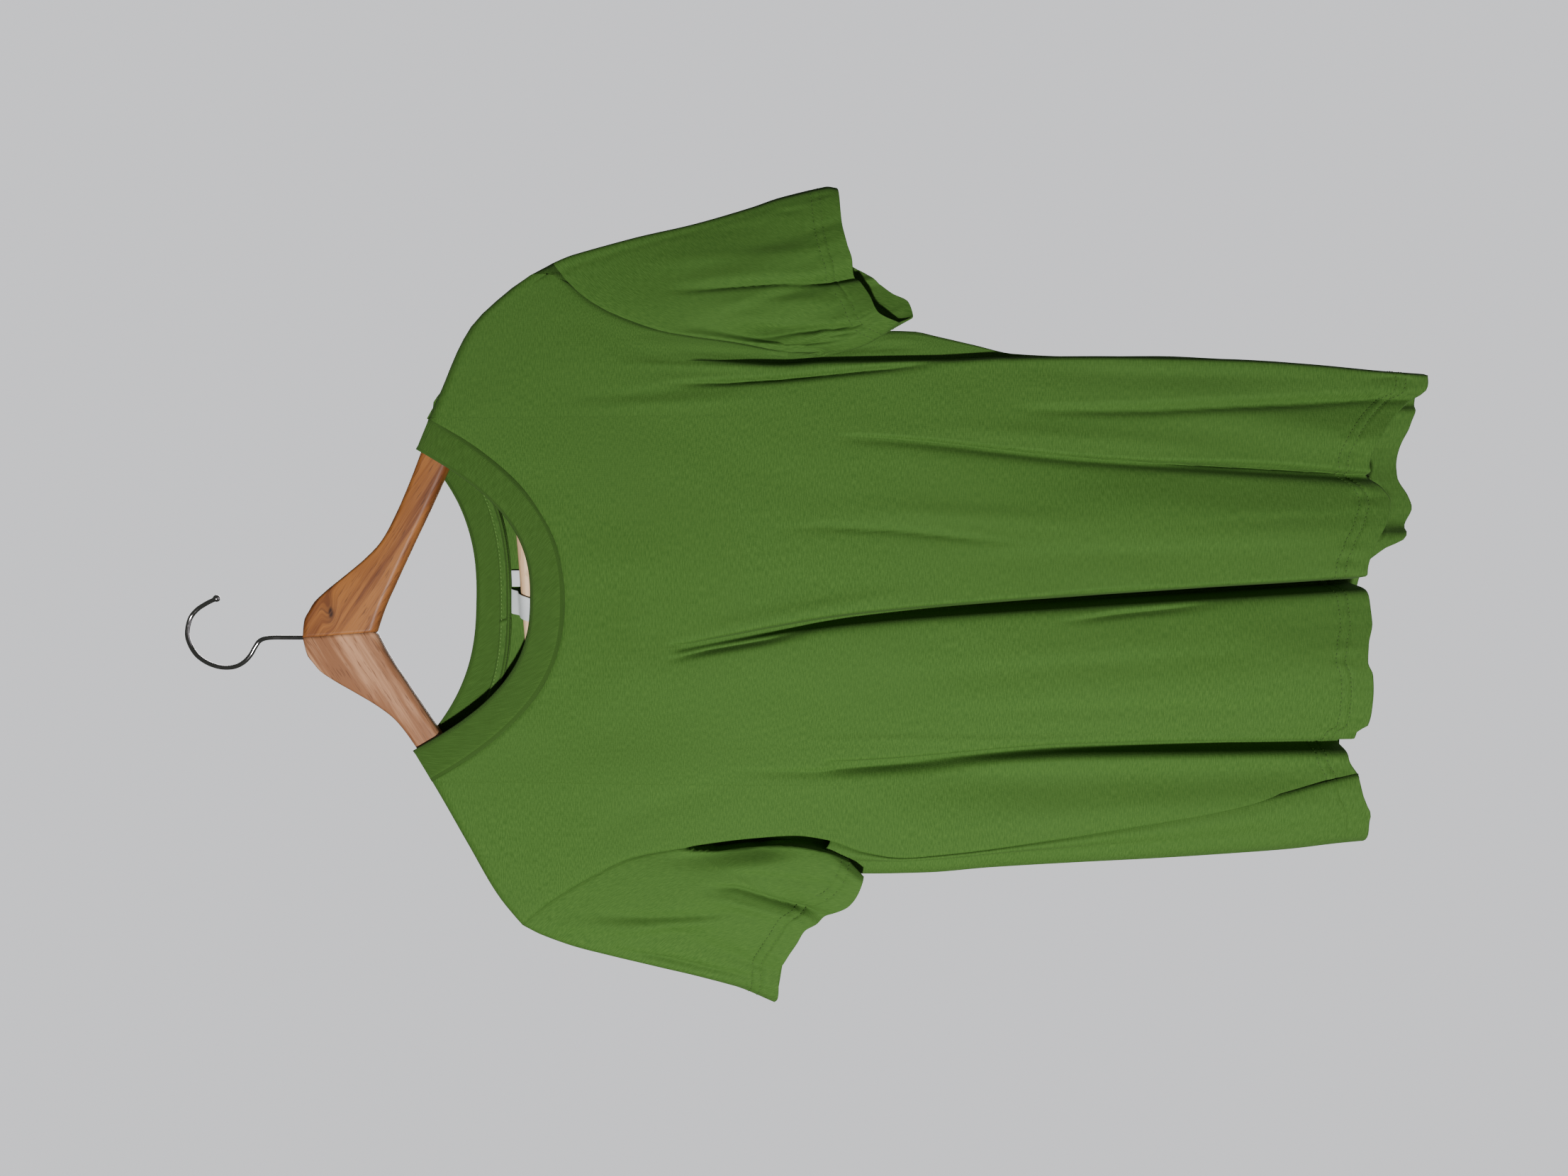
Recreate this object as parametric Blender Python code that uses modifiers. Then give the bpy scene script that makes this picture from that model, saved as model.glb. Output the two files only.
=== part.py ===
"""A short-sleeved, crew-neck T-shirt of cotton jersey, hung on a wooden hanger.

The shirt is five cut pieces sewn together (front, back, two sleeves and a rib neckband) with a
narrow tape over the back neck seam and two small woven labels under it. Each is a thin wall of
its own, lofted through sections that are worked out from the sizes below.

Frame: metres, +Z up, the shirt's front faces -Y, +X is to the right of someone looking at the
front. The origin is the inside top of the wire hook, where it lies on a rail or a peg. The sizes
below are millimetres, and "drop" is the distance below that origin, so z = -drop.
"""

import math

import bmesh
import bpy
import numpy as np

MM = 0.001

# ---------------------------------------------------------------- driving sizes, in millimetres
JERSEY = 1.2  # wall of the body and sleeves
RIB = 1.9  # wall of the neckband, which is two layers of rib
TAPE = 1.0  # wall of the neck tape and the labels
SIDE_SEAM = 1.5  # from the front's edge to the back's, along the side seam
SEAM = 0.9  # from the middle of one wall to the next across a seam, 0.3 clear at the corners

HEM_DROP = 790.0  # the drop at which the folds have their full size
RIDGE_RADIUS = 7.6  # the cloth's bend over the top of the hanger's arms
TILT = math.radians(4.6)  # the hanger hangs a little low on the left

WOOD_THICK = 12.0
WOOD_ROUND = 4.5
BLOCK_TOP = (-3.0, -77.5)  # x, z of the top of the hanger, where the wire goes in
BAR_RADIUS = 5.5
BAR_BELOW = 154.5  # from the top of the block to the bar's axis
BAR_HALF = 184.0
WIRE_RADIUS = 1.5
BALL_RADIUS = 2.4
WIRE_IN_WOOD = 30.0
FIT = 0.3  # clearance of the wire and the bar in their holes, and half the gap at the mitre

# ---------------------------------------------------------------- outlines, front view
# Where the cloth turns over the arms of the hanger, from the left shoulder to the neck.
RIDGE_LEFT = ((-196.5, 226.0), (-177, 210), (-143, 190), (-108, 170), (-79, 152.5), (22, 91))
RIDGE_RIGHT = ((22, 113), (125, 155), (162, 170.5), (206, 191), (226, 211), (240, 230), (249, 247))

# The front's left edge: the armhole seam down to the underarm, then the side seam, which has
# slipped round to the front. Columns: drop, x.
FRONT_LEFT = (
    (226.0, -196.5), (241, -183), (276, -161), (301, -148), (326, -143.5), (380, -138.5),
    (410, -137), (430, -140), (456, -147), (480, -148), (510, -145), (580, -135), (633, -126),
    (695, -114), (729, -106), (768, -95), (800, -88),
)
# The right edge: the armhole seam, then the side, which stands out as a flap under the arm.
FRONT_RIGHT = (
    (247.0, 249), (257, 236), (276, 220), (301, 208), (326, 200), (375, 193.5), (410, 188.5),
    (428, 188.4), (445, 191.5), (475, 200), (490, 202), (504, 199), (530, 193), (557, 187),
    (600, 185.3), (650, 185.6), (700, 183.5), (750, 180.5), (800, 174.6), (840, 172.5),
)
UNDERARM_LEFT = 430.0
UNDERARM_RIGHT = 428.0
UNDERARM_GAP = 3.0  # how far below the front's underarm the back starts

# The left outline of the body, which is the back panel coming round to the front. Above the
# underarm it is one side width outside the back armhole seam. Columns: drop, x, side width.
SIDE_LEFT = (
    (226.0, -207.5, 11), (245, -191, 11), (280, -171, 11), (320, -161, 11), (370, -158, 11),
    (410, -159.5, 11), (430, -160.8, 11), (460, -161.3, 11), (498, -160.5, 11.5),
    (540, -157, 12), (600, -153.3, 13), (650, -150.5, 14), (700, -147, 15), (740, -143.7, 15),
    (770, -140, 15), (800, -137.2, 15),
)
# The back armhole seam on the right. Columns: drop, x.
BACK_RIGHT = (
    (247.0, 249), (262, 232), (285, 214), (320, 200), (360, 192), (400, 188), (428, 188.8),
    (445, 193), (475, 200), (490, 202), (504, 199), (530, 193), (557, 187), (600, 185.3),
    (650, 185.6), (700, 183.5), (750, 180.5), (800, 174.6), (840, 172.5),
)
# The hems. Columns: x, drop.
FRONT_HEM = (
    (-150, 790), (-92, 776), (-80, 770), (-69, 771), (-62, 772), (-58, 778.5), (-50, 779.6),
    (-25, 778), (-17, 774.8), (-6, 775.8), (9, 779.6), (28, 779), (42, 777.3), (59, 782.5),
    (73, 790), (87, 794), (95, 790), (102, 785), (111, 782.7), (121, 785.5), (135, 794),
    (145, 802.6), (152.5, 811.5), (158, 819), (163, 820.7), (175, 820),
)
BACK_HEM = (
    (-150, 790), (-82, 787), (0, 795), (34, 800), (50, 804), (57, 811), (64, 825), (76, 831),
    (86, 835.5), (94, 833), (107, 826.5), (114, 826.3), (142, 832), (160, 837), (175, 834),
)

# The neck, front and back: half width, how far it hangs, and how full the curve is.
NECK_X = 22.5
NECK = {
    "front seam": {"half": 122.5, "hang": 91.2, "full": 2.4},
    "front edge": {"half": 101.5, "hang": 79.4, "full": 2.5},
    "back seam": {"half": 122.5, "hang": 48.8, "full": 2.7},
    "back edge": {"half": 101.5, "hang": 38.8, "full": 2.5},
}

# ---------------------------------------------------------------- folds
# Each runs down the cloth. x is given at the drops in FOLD_AT; height is reached at the hem or at
# "full"; left and right are how far the cloth takes to go in and to come out again.
FOLD_AT = (335, 450, 600, HEM_DROP)
FOLD_COLUMNS = ("name", "x", "start", "full", "height", "left", "right")
FRONT_CRESTS = (
    ("left lobe", (-120, -120, -112, -100), 560, 790, 4, 26, 26),
    ("middle lobe", (-45, -40, -30, -22), 420, 790, 15, 46, 46),
    ("right lobe", (60, 66, 70, 66), 450, 790, 10, 36, 30),
    ("side lobe", (150, 150, 150, 128), 600, 790, 5, 14, 14),
    ("edge lobe", (166, 168, 170, 164), 520, 790, 4, 12, 12),
    ("chest", (22, 22, 22, 22), 250, 400, 5, 120, 120),
)
FRONT_FOLDS = (
    ("left pleat", (-88, -87.5, -79, -76), 430, 740, 22, 5, 3.5),
    ("middle pleat", (-12.7, 8, 21, 33), 335, 700, 26, 5, 3.5),
    ("right fold", (131, 129, 114, 97), 470, 720, 7, 7, 7),
    ("side fold", (146, 145, 144, 150), 560, 790, 5, 8, 7),
)
BACK_CRESTS = (
    ("left swell", (-70, -74, -80, -84), 330, 790, 5, 34, 34),
    ("middle swell", (40, 36, 24, 18), 380, 790, 6, 36, 36),
    ("right swell", (120, 122, 124, 122), 350, 790, 4, 26, 26),
)
BACK_FOLDS = (
    ("left fold", (-30, -32, -38, -42), 400, 770, 9, 10, 14),
    ("middle fold", (80, 78, 70, 58), 430, 790, 11, 9, 12),
    ("right fold", (150, 150, 148, 144), 460, 780, 6, 10, 10),
)
# The front stands proud of the flap under the right arm. Columns: drop, x of its edge.
LOBE_EDGE = (
    (330, 176), (365, 176), (400, 175.5), (430, 177), (470, 178), (510, 179), (545, 180.5),
    (600, 179.5), (700, 177), (750, 173.5), (800, 168.5), (840, 165.5),
)
LOBE_ROUND = 5.0  # how far its edge takes to turn in
FLAP_Y = -8.0


def smooth(at, rows, column=1):
    """A curve through a table's rows that never swings past them (monotone cubic), level past
    the ends. The first column is what it is read at."""
    knots = np.array([row[0] for row in rows], float)
    values = np.array([row[column] for row in rows], float)
    gaps = np.diff(knots)
    slopes = np.diff(values) / gaps
    tangents = np.zeros_like(values)
    tangents[0], tangents[-1] = slopes[0], slopes[-1]
    same = slopes[:-1] * slopes[1:] > 0
    before, after = 2 * gaps[1:] + gaps[:-1], gaps[1:] + 2 * gaps[:-1]
    safe = np.where(same, slopes[:-1], 1), np.where(same, slopes[1:], 1)
    tangents[1:-1] = np.where(same, (before + after) / (before / safe[0] + after / safe[1]), 0)
    at = np.clip(np.asarray(at, float), knots[0], knots[-1])
    i = np.clip(np.searchsorted(knots, at) - 1, 0, len(gaps) - 1)
    t = (at - knots[i]) / gaps[i]
    return (
        values[i] * (1 + 2 * t) * (1 - t) ** 2
        + values[i + 1] * t * t * (3 - 2 * t)
        + gaps[i] * t * (1 - t) * (tangents[i] * (1 - t) - tangents[i + 1] * t)
    )


def ease(value, start, full):
    """0 at start and 1 at full, level at both."""
    t = np.clip((value - start) / (full - start), 0, 1)
    return t * t * (3 - 2 * t)


def named(rows):
    """Rows of a fold table as dictionaries with its column names."""
    return [dict(zip(FOLD_COLUMNS, row)) for row in rows]


def fold_x(fold, drop):
    """Where a fold lies across the cloth at a drop."""
    return smooth(drop, tuple(zip(FOLD_AT, fold["x"])))


def crest(fold, x, drop):
    """Height of a soft ridge: a bell across the cloth, growing down it."""
    off = x - fold_x(fold, drop)
    width = np.where(off < 0, fold["left"], fold["right"])
    return fold["height"] * ease(drop, fold["start"], fold["full"]) * np.exp(-((off / width) ** 2))


def pleat(fold, x, drop):
    """Depth of a fold: a groove with a round bottom, growing evenly from where it starts."""
    off = x - fold_x(fold, drop)
    side = np.where(off < 0, off / fold["left"], off / fold["right"])
    grown = np.clip((drop - fold["start"]) / (fold["full"] - fold["start"]), 0, 1)
    return fold["height"] * grown / (1 + side**4)


def ridge(x):
    """Drop of the line where the cloth turns over the hanger."""
    return np.where(x < NECK_X, smooth(x, RIDGE_LEFT), smooth(x, RIDGE_RIGHT))


def over_the_arm(x, drop):
    """0 on the ridge and 1 a bend's radius below it, as a quarter circle."""
    below = np.clip((drop - ridge(x)) / RIDGE_RADIUS, 0, 1)
    return np.sqrt(1 - (1 - below) ** 2)


def front_y(x, drop):
    """Depth of the middle of the front's wall, with its folds."""
    depth = RIDGE_RADIUS + 11 * ease(drop, 190, 390) + 8 * ease(drop, 390, 780)
    for fold in named(FRONT_CRESTS):
        depth = depth + crest(fold, x, drop)
    for fold in named(FRONT_FOLDS):
        depth = depth - pleat(fold, x, drop)
    y = -depth * over_the_arm(x, drop)
    turn = np.clip((x - smooth(drop, LOBE_EDGE)) / LOBE_ROUND, 0, 1)
    behind = ease(drop, 335, 400) * (1 - np.sqrt(1 - turn**2))
    return y + (FLAP_Y - y) * behind


def back_y(x, drop):
    """Depth of the middle of the back's wall, with its folds."""
    depth = RIDGE_RADIUS + 4.5 * ease(drop, 180, 400) + 2 * ease(drop, 400, 780)
    for fold in named(BACK_CRESTS):
        depth = depth + crest(fold, x, drop)
    for fold in named(BACK_FOLDS):
        depth = depth - pleat(fold, x, drop)
    return depth * over_the_arm(x, drop)


# ---------------------------------------------------------------- making a wall
def as_points(x, y, drop):
    """Points (x, y, z) from places across, depths and drops, whatever their shapes are."""
    return np.stack(np.broadcast_arrays(x, y, -np.asarray(drop, float)), axis=-1)


def add_wall(name, points, thick, material, closed=False):
    """A grid of points (rows, columns, xyz) as one wall, thickened evenly to both sides. Points
    that are not a number are left out, as where a panel has a corner cut away."""
    rows, columns = points.shape[:2]
    steps = columns if closed else columns - 1
    near = np.arange(rows - 1)[:, None] * columns + np.arange(steps)
    far = np.arange(rows - 1)[:, None] * columns + (np.arange(steps) + 1) % columns
    faces = np.stack([near, near + columns, far + columns, far], axis=-1).reshape(-1, 4)
    corners = points.reshape(-1, 3) * MM
    there = ~np.isnan(corners[:, 0])
    faces = (np.cumsum(there) - 1)[faces[there[faces].all(axis=1)]]
    mesh = bpy.data.meshes.new(name)
    mesh.from_pydata(corners[there].tolist(), [], faces.tolist())
    mesh.shade_smooth()
    mesh.materials.append(material)
    wall = bpy.data.objects.new(name, mesh)
    shirt.objects.link(wall)
    shell = wall.modifiers.new("wall", "SOLIDIFY")
    shell.thickness = thick * MM
    shell.offset = 0
    return wall


def paint(name, colour, roughness, metallic=0.0):
    """A plain material of one colour."""
    material = bpy.data.materials.new(name)
    material.use_nodes = True
    shader = material.node_tree.nodes["Principled BSDF"]
    shader.inputs["Base Color"].default_value = (*colour, 1)
    shader.inputs["Roughness"].default_value = roughness
    shader.inputs["Metallic"].default_value = metallic
    return material


# Rows down a panel, as shares of its length: close together over the arm of the hanger.
PANEL_ROWS = (
    0, 0.004, 0.009, 0.016, 0.03, 0.055, 0.09, 0.135, 0.18, 0.225, 0.27, 0.31, 0.34, 0.377, 0.42,
    0.47, 0.53, 0.6, 0.68, 0.76, 0.84, 0.91, 0.965, 1,
)
# Lines down the front that its columns follow, evenly between one and the next.
# Columns of the table: name, x at FOLD_AT, how many columns up to the next line.
FRONT_LINES = (
    ("edge", None, 5),
    ("left neck", (-100, -100, -98, -88.5), 1),
    ("left neck, in", (-99.2, -98.8, -95, -87.5), 1),
    ("left neck, further in", (-97.8, -97.3, -92, -86), 2),
    ("left pleat, in", (-94, -93, -86, -83), 5),
    ("left pleat, out", (-83, -82, -74, -71), 8),
    ("middle pleat, in", (-20, 0.5, 13.5, 25), 6),
    ("middle pleat, out", (-6, 14, 27, 39), 6),
    ("right fold, in", (118, 117, 103, 87), 6),
    ("right neck, further in", (142.5, 139, 123, 105), 1),
    ("right neck, in", (144.2, 141, 125, 107), 1),
    ("right neck", (145, 142.5, 127, 109), 5),
)
LOBE_STEPS = (0, 0.3, 0.6, 0.85, 1)
FLAP_STEPS = (0.5, 1)


def neck(name, x, inset=0.0):
    """Drop of a neck curve, hung between the two points where it crosses the arms' tops."""
    half = NECK[name]["half"] - inset
    t = np.clip((x - NECK_X) / half, -1, 1)
    left, right = ridge(NECK_X - half), ridge(NECK_X + half)
    hang = (NECK[name]["hang"] - inset) * (1 - np.abs(t) ** NECK[name]["full"])
    return left + (right - left) * (t + 1) / 2 + hang


def panel_top(name):
    """The top of a panel: the neck curve in the middle, and the arms' tops at the sides."""
    half = NECK[name]["half"]

    def top(x):
        return np.where(np.abs(x - NECK_X) < half, neck(name, x), ridge(x))

    return top


def settle(line, level):
    """The drop at which a line down the cloth crosses a level that varies across it."""
    drop = np.full_like(line(300.0), 300.0)
    for _ in range(40):
        drop = 0.5 * drop + 0.5 * level(line(drop))
    return drop


def hang_down(line, top, bottom, rows):
    """Drops of a panel's rows, one column of them for each line down it. The first row is half a
    seam past the arm's top, and the rows then go round the arm and straight down."""
    start, end = settle(line, top), settle(line, bottom)
    crown = ridge(line(start))
    quarter = RIDGE_RADIUS * math.pi / 2
    below = np.clip(start - crown, 0, None)
    near = RIDGE_RADIUS * np.arccos(1 - np.clip(below / RIDGE_RADIUS, 0, 1))
    first = np.where(below < RIDGE_RADIUS, near, quarter + below - RIDGE_RADIUS)
    first = np.maximum(first, SEAM / 2)
    last = quarter + end - crown - RIDGE_RADIUS
    path = first + (last - first) * np.asarray(rows)[:, None]
    bend = RIDGE_RADIUS * (1 - np.cos(np.clip(path, 0, quarter) / RIDGE_RADIUS))
    return crown + np.where(path < quarter, bend, RIDGE_RADIUS + path - quarter)


# ---------------------------------------------------------------- the front
def front_lines(drop):
    """x of every column of the front, at one drop for each of them or for all."""
    lines = [smooth(drop, FRONT_LEFT)]
    lines += [smooth(drop, tuple(zip(FOLD_AT, x))) for _, x, _ in FRONT_LINES[1:]]
    edge = smooth(drop, FRONT_RIGHT)
    lobe = np.minimum(smooth(drop, LOBE_EDGE), edge - 2 * LOBE_ROUND)
    lines.append(lobe)
    found = []
    for line, following, (_, _, steps) in zip(lines, lines[1:], FRONT_LINES):
        found += [line + (following - line) * step / steps for step in range(steps)]
    found += [lobe + LOBE_ROUND * share for share in LOBE_STEPS]
    found += [lobe + LOBE_ROUND + (edge - lobe - LOBE_ROUND) * share for share in FLAP_STEPS]
    return np.stack(np.broadcast_arrays(*found), axis=-1)


def own_drop(lines):
    """A function of one drop for each column, from a function of drops for all columns."""

    def line(drop):
        every = lines(np.asarray(drop, float))
        return every if np.ndim(drop) == 0 else np.diagonal(every, axis1=-2, axis2=-1)

    return line


def front_hem(x):
    """Drop of the front's hem."""
    return smooth(x, FRONT_HEM)


def make_front(material):
    """The front: its lines hung from the neck and the arms, down to the hem."""
    line = own_drop(front_lines)
    drop = hang_down(line, panel_top("front seam"), front_hem, PANEL_ROWS)
    x = line(drop)
    points = as_points(x, front_y(x, drop), drop)
    add_wall("front_panel", points, JERSEY, material)
    return points


# ---------------------------------------------------------------- the back
BACK_ROW_AT_SIDE = 10  # the row at which the back armhole starts to come round the side
WRAP = (0, 0.12, 0.24, 0.35, 0.48, 0.61, 0.74, 0.87)  # shares of the way round the side
WRAP_FLAT = 0.35  # the share of it that lies on the front
BACK_LINES = (
    ("side", None, 6),
    ("left neck", (-100, -100, -98, -96), 1),
    ("left neck, in", (-99.0, -98.5, -96, -94), 1),
    ("left neck, further in", (-97, -96, -93, -91), 6),
    ("left fold", (-30, -32, -38, -42), 12),
    ("middle fold", (80, 78, 70, 58), 6),
    ("right neck, further in", (142, 140, 135, 127), 1),
    ("right neck, in", (144, 142, 137, 129), 1),
    ("right neck", (145, 143.5, 139, 131), 6),
)
BACK_EDGE_TURN = 16.0  # how far the back's right edge takes to come forward to the side seam
BACK_EDGE_GAP = 0.4  # clearance of the two walls there
SIDE_FORWARD = 0.8  # depth of the cloth beyond the left side seam, as a share of the seam's
SIDE_BOW = 2.5  # how far that cloth bows out
# Its hem on the way round the left side. Columns: share of the way, drop.
WRAP_HEM = ((0, 775.5), (0.11, 777.5), (0.2, 781), (0.29, 785), (0.35, 785), (0.6, 787.5), (1, 789))
WRAP_CURVE = 1.5  # how the top of the wrap rises to the armhole, as a power of its share


def back_lines(drop):
    """x of every column of the back behind the side, at one drop for each of them or for all."""
    lines = [smooth(drop, SIDE_LEFT) + smooth(drop, SIDE_LEFT, 2)]
    lines += [smooth(drop, tuple(zip(FOLD_AT, x))) for _, x, _ in BACK_LINES[1:]]
    lines.append(smooth(drop, BACK_RIGHT))
    found = []
    for line, following, (_, _, steps) in zip(lines, lines[1:], BACK_LINES):
        found += [line + (following - line) * step / steps for step in range(steps)]
    return np.stack(np.broadcast_arrays(*found, lines[-1]), axis=-1)


def back_surface(x, drop):
    """Depth of the back, which comes forward to the side seam at its right edge."""
    y = back_y(x, drop)
    seam = FLAP_Y + JERSEY + BACK_EDGE_GAP
    near = np.clip((x - smooth(drop, BACK_RIGHT)) / BACK_EDGE_TURN + 1, 0, 1)
    turned = seam + (y - seam) * np.sqrt(1 - near**2)
    return y + (turned - y) * ease(drop, 330, 428)


def round_the_side(share, drop):
    """x and y of the back panel on its way from the side seam on the front to the back."""
    seam_x = smooth(drop, FRONT_LEFT) - SIDE_SEAM
    seam_y = front_y(seam_x + SIDE_SEAM, drop)
    side, width = smooth(drop, SIDE_LEFT), smooth(drop, SIDE_LEFT, 2)
    far_y = back_y(side + width, drop)
    near_y = SIDE_FORWARD * seam_y
    flat = np.clip(share / WRAP_FLAT, 0, 1)
    turn = np.clip((share - WRAP_FLAT) / (1 - WRAP_FLAT), 0, 1) * math.pi
    x = seam_x + (side + width - seam_x) * flat - width * np.sin(turn)
    y = seam_y + (near_y - seam_y) * flat + (far_y - near_y) * (1 - np.cos(turn)) / 2
    return x, y - SIDE_BOW * np.sin(math.pi * flat)


def back_hem(x):
    """Drop of the back's hem."""
    return smooth(x, BACK_HEM)


def make_back(material):
    """The back: its lines hung as the front's are, and to their left the columns that come round
    the side below the underarm. Their rows above it are missing."""
    line = own_drop(back_lines)
    drop = hang_down(line, panel_top("back seam"), back_hem, PANEL_ROWS)
    x = line(drop)
    panel = as_points(x, back_surface(x, drop), drop)
    rows = np.asarray(PANEL_ROWS[BACK_ROW_AT_SIDE:])
    rows = (rows - rows[0]) / (1 - rows[0])
    start = drop[BACK_ROW_AT_SIDE, 0]
    share = np.asarray(WRAP)
    underarm = UNDERARM_LEFT + UNDERARM_GAP
    top = underarm + (start - underarm) * share**WRAP_CURVE
    end = smooth(share, WRAP_HEM)
    wrap_drop = top + (end - top) * rows[:, None]
    wrap_x, wrap_y = round_the_side(share, wrap_drop)
    wrap = as_points(wrap_x, wrap_y, wrap_drop)
    empty = np.full((BACK_ROW_AT_SIDE, len(share), 3), np.nan)
    points = np.concatenate([np.concatenate([empty, wrap]), panel], axis=1)
    add_wall("back_panel", points, JERSEY, material)
    return points


# ---------------------------------------------------------------- the sleeves
# Rings of a sleeve, as shares of the way from the armhole to the cuff.
SLEEVE_ROWS = (0, 0.03, 0.07, 0.13, 0.22, 0.34, 0.48, 0.62, 0.76, 0.89, 1)
# The cuffs, in front and behind, from the fold on the outside of the arm to the one underneath.
# Columns: share of the way, x, drop, depth.
CUFF_LEFT_FRONT = (
    (0.0, -249.5, 396.0, 0), (0.06, -244, 398.5, -7), (0.2, -226, 399.5, -12),
    (0.3, -216.4, 404, -13.5), (0.4, -205.4, 411, -15), (0.5, -195.6, 417, -17),
    (0.56, -192, 424, -18.5), (0.64, -186.6, 430, -20), (0.76, -178.8, 444.8, -23),
    (0.86, -170.8, 450.5, -26), (0.95, -162.5, 453.6, -28), (1.0, -159, 454.5, -26),
)
CUFF_LEFT_BACK = (
    (0.0, -249.5, 396.0, 0), (0.1, -243, 398.5, 6), (0.3, -222, 403, 10), (0.5, -200, 420, 11),
    (0.66, -182, 443, 9), (0.78, -173, 452, 2), (0.86, -169, 454.5, -8), (0.93, -164.5, 454.5, -18),
    (1.0, -159, 454.5, -26),
)
CUFF_RIGHT_FRONT = (
    (0.0, 300.5, 438.0, 0), (0.06, 296, 439, -7), (0.25, 274, 441, -13), (0.4, 258, 444.5, -16),
    (0.48, 249, 447.5, -16), (0.54, 241, 448.5, -11), (0.64, 233, 453.5, -14),
    (0.74, 224, 459, -17), (0.88, 213, 464, -20), (0.94, 210, 468, -20), (1.0, 207, 479, -14),
)
CUFF_RIGHT_BACK = (
    (0.0, 300.5, 438.0, 0), (0.1, 293, 439.5, 5), (0.3, 272, 442, 9), (0.48, 251, 448, 10),
    (0.58, 244, 458, 10), (0.7, 236.5, 467, 9), (0.8, 229, 476, 6), (0.88, 223, 486, 3),
    (0.94, 213, 489, -4), (1.0, 207, 479, -14),
)
# Folds down a sleeve's front. Columns: share across it, depth, width as a share.
SLEEVE_FOLDS_LEFT = (("outer flap", 0.2, 3.0, 0.05), ("cuff step", 0.62, 4.0, 0.06))
SLEEVE_FOLDS_RIGHT = (("long fold", 0.62, 8.0, 0.045), ("back crease", 0.25, 2.0, 0.06))
# How far the outside of a sleeve bows out past a straight line, to the right. Columns: share of
# the way down it, x.
BOW_LEFT = ((0, 0), (0.08, -2.6), (0.2, -3.7), (0.33, -2.6), (0.55, 0), (0.7, 1.8), (0.85, 2.6), (1, 0))
BOW_RIGHT = ((0, 0), (0.07, 1.9), (0.28, 2.6), (0.49, 1.4), (0.7, 2.6), (0.8, 4), (0.96, 3.1), (1, 0.3))
BOW_REACH = 0.3  # the share across it that follows
PUFF = 5.0  # how far a sleeve's front stands out halfway down
PUFF_BEHIND = 0.4  # how far its back does, as a share of that
CLEAR_OF_BODY = 3.0  # how far a sleeve stands off the body under the arm
STEP_OVER = 1.6  # how far it first rises from the seam there, to clear the body's edge
GULLY = 6.0  # how deep the cloth dips between the body and the sleeve, at the underarm
# Stretches of the way round the armhole, as shares: where the gully comes and goes, and where a
# sleeve starts to stand off the body in front and behind.
GULLY_COMES, GULLY_GOES = (0.45, 0.7), (0.75, 0.9)
OFF_IN_FRONT, OFF_BEHIND = (0.72, 0.9), (0.45, 0.72)
# Stretches of the way down a sleeve, as shares, for the gully and for the folds.
GULLY_IN, GULLY_OUT = (0, 0.13), (0.13, 0.34)
LIFT_BY = 0.03
FOLDS_GROW = (0.25, 0.75)


def seam_loop(front, back, side):
    """Where a sleeve starts: the panels' armhole edges, front from the shoulder to the underarm
    and back up, each point moved on from its panel by the seam. Also which way that is, which
    way is out of the body there, each point's share of the way, and how many are in front."""

    def outwards(edge, inner):
        along = np.gradient(edge, axis=0)
        along /= np.linalg.norm(along, axis=-1, keepdims=True)
        away = edge - inner
        away = away - along * (away * along).sum(axis=-1, keepdims=True)
        away /= np.linalg.norm(away, axis=-1, keepdims=True)
        return np.stack([edge + away * SEAM, away])

    if side == "left":
        last = np.searchsorted(-front[:, 0, 2], UNDERARM_LEFT) + 1
        first = outwards(front[:last, 0], front[:last, 1])
        k, n = BACK_ROW_AT_SIDE, len(WRAP)
        under = outwards(back[k, :n], back[k + 1, :n])
        rise = outwards(back[: k + 1, n], back[: k + 1, n + 1])[:, ::-1]
        second = np.concatenate([under, rise], axis=1)
        turn = np.clip((np.asarray(WRAP) - WRAP_FLAT) / (1 - WRAP_FLAT), 0, 1) * math.pi
        turn = np.concatenate([np.zeros(last), turn, np.full(k + 1, math.pi)])
        facing = np.stack([-np.sin(turn), -np.cos(turn), 0 * turn], axis=-1)
    else:
        last = np.searchsorted(-front[:, -1, 2], UNDERARM_RIGHT) + 1
        first = outwards(front[:last, -1], front[:last, -2])
        last = np.searchsorted(-back[:, -1, 2], UNDERARM_RIGHT) + 1
        second = outwards(back[:last, -1], back[:last, -2])[:, ::-1]
        facing = np.concatenate([np.tile((0.7, -0.7, 0), (first.shape[1], 1)),
                                 np.tile((1.0, 0.3, 0), (second.shape[1], 1))])
    shares = []
    for part, backwards in ((first[0], False), (second[0], True)):
        run = np.concatenate([[0], np.cumsum(np.linalg.norm(np.diff(part, axis=0), axis=1))])
        run = run / run[-1]
        shares.append(1 - run if backwards else run)
    loop, away = np.concatenate([first, second], axis=1)
    return loop, away, facing, np.concatenate(shares), first.shape[1]


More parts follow.
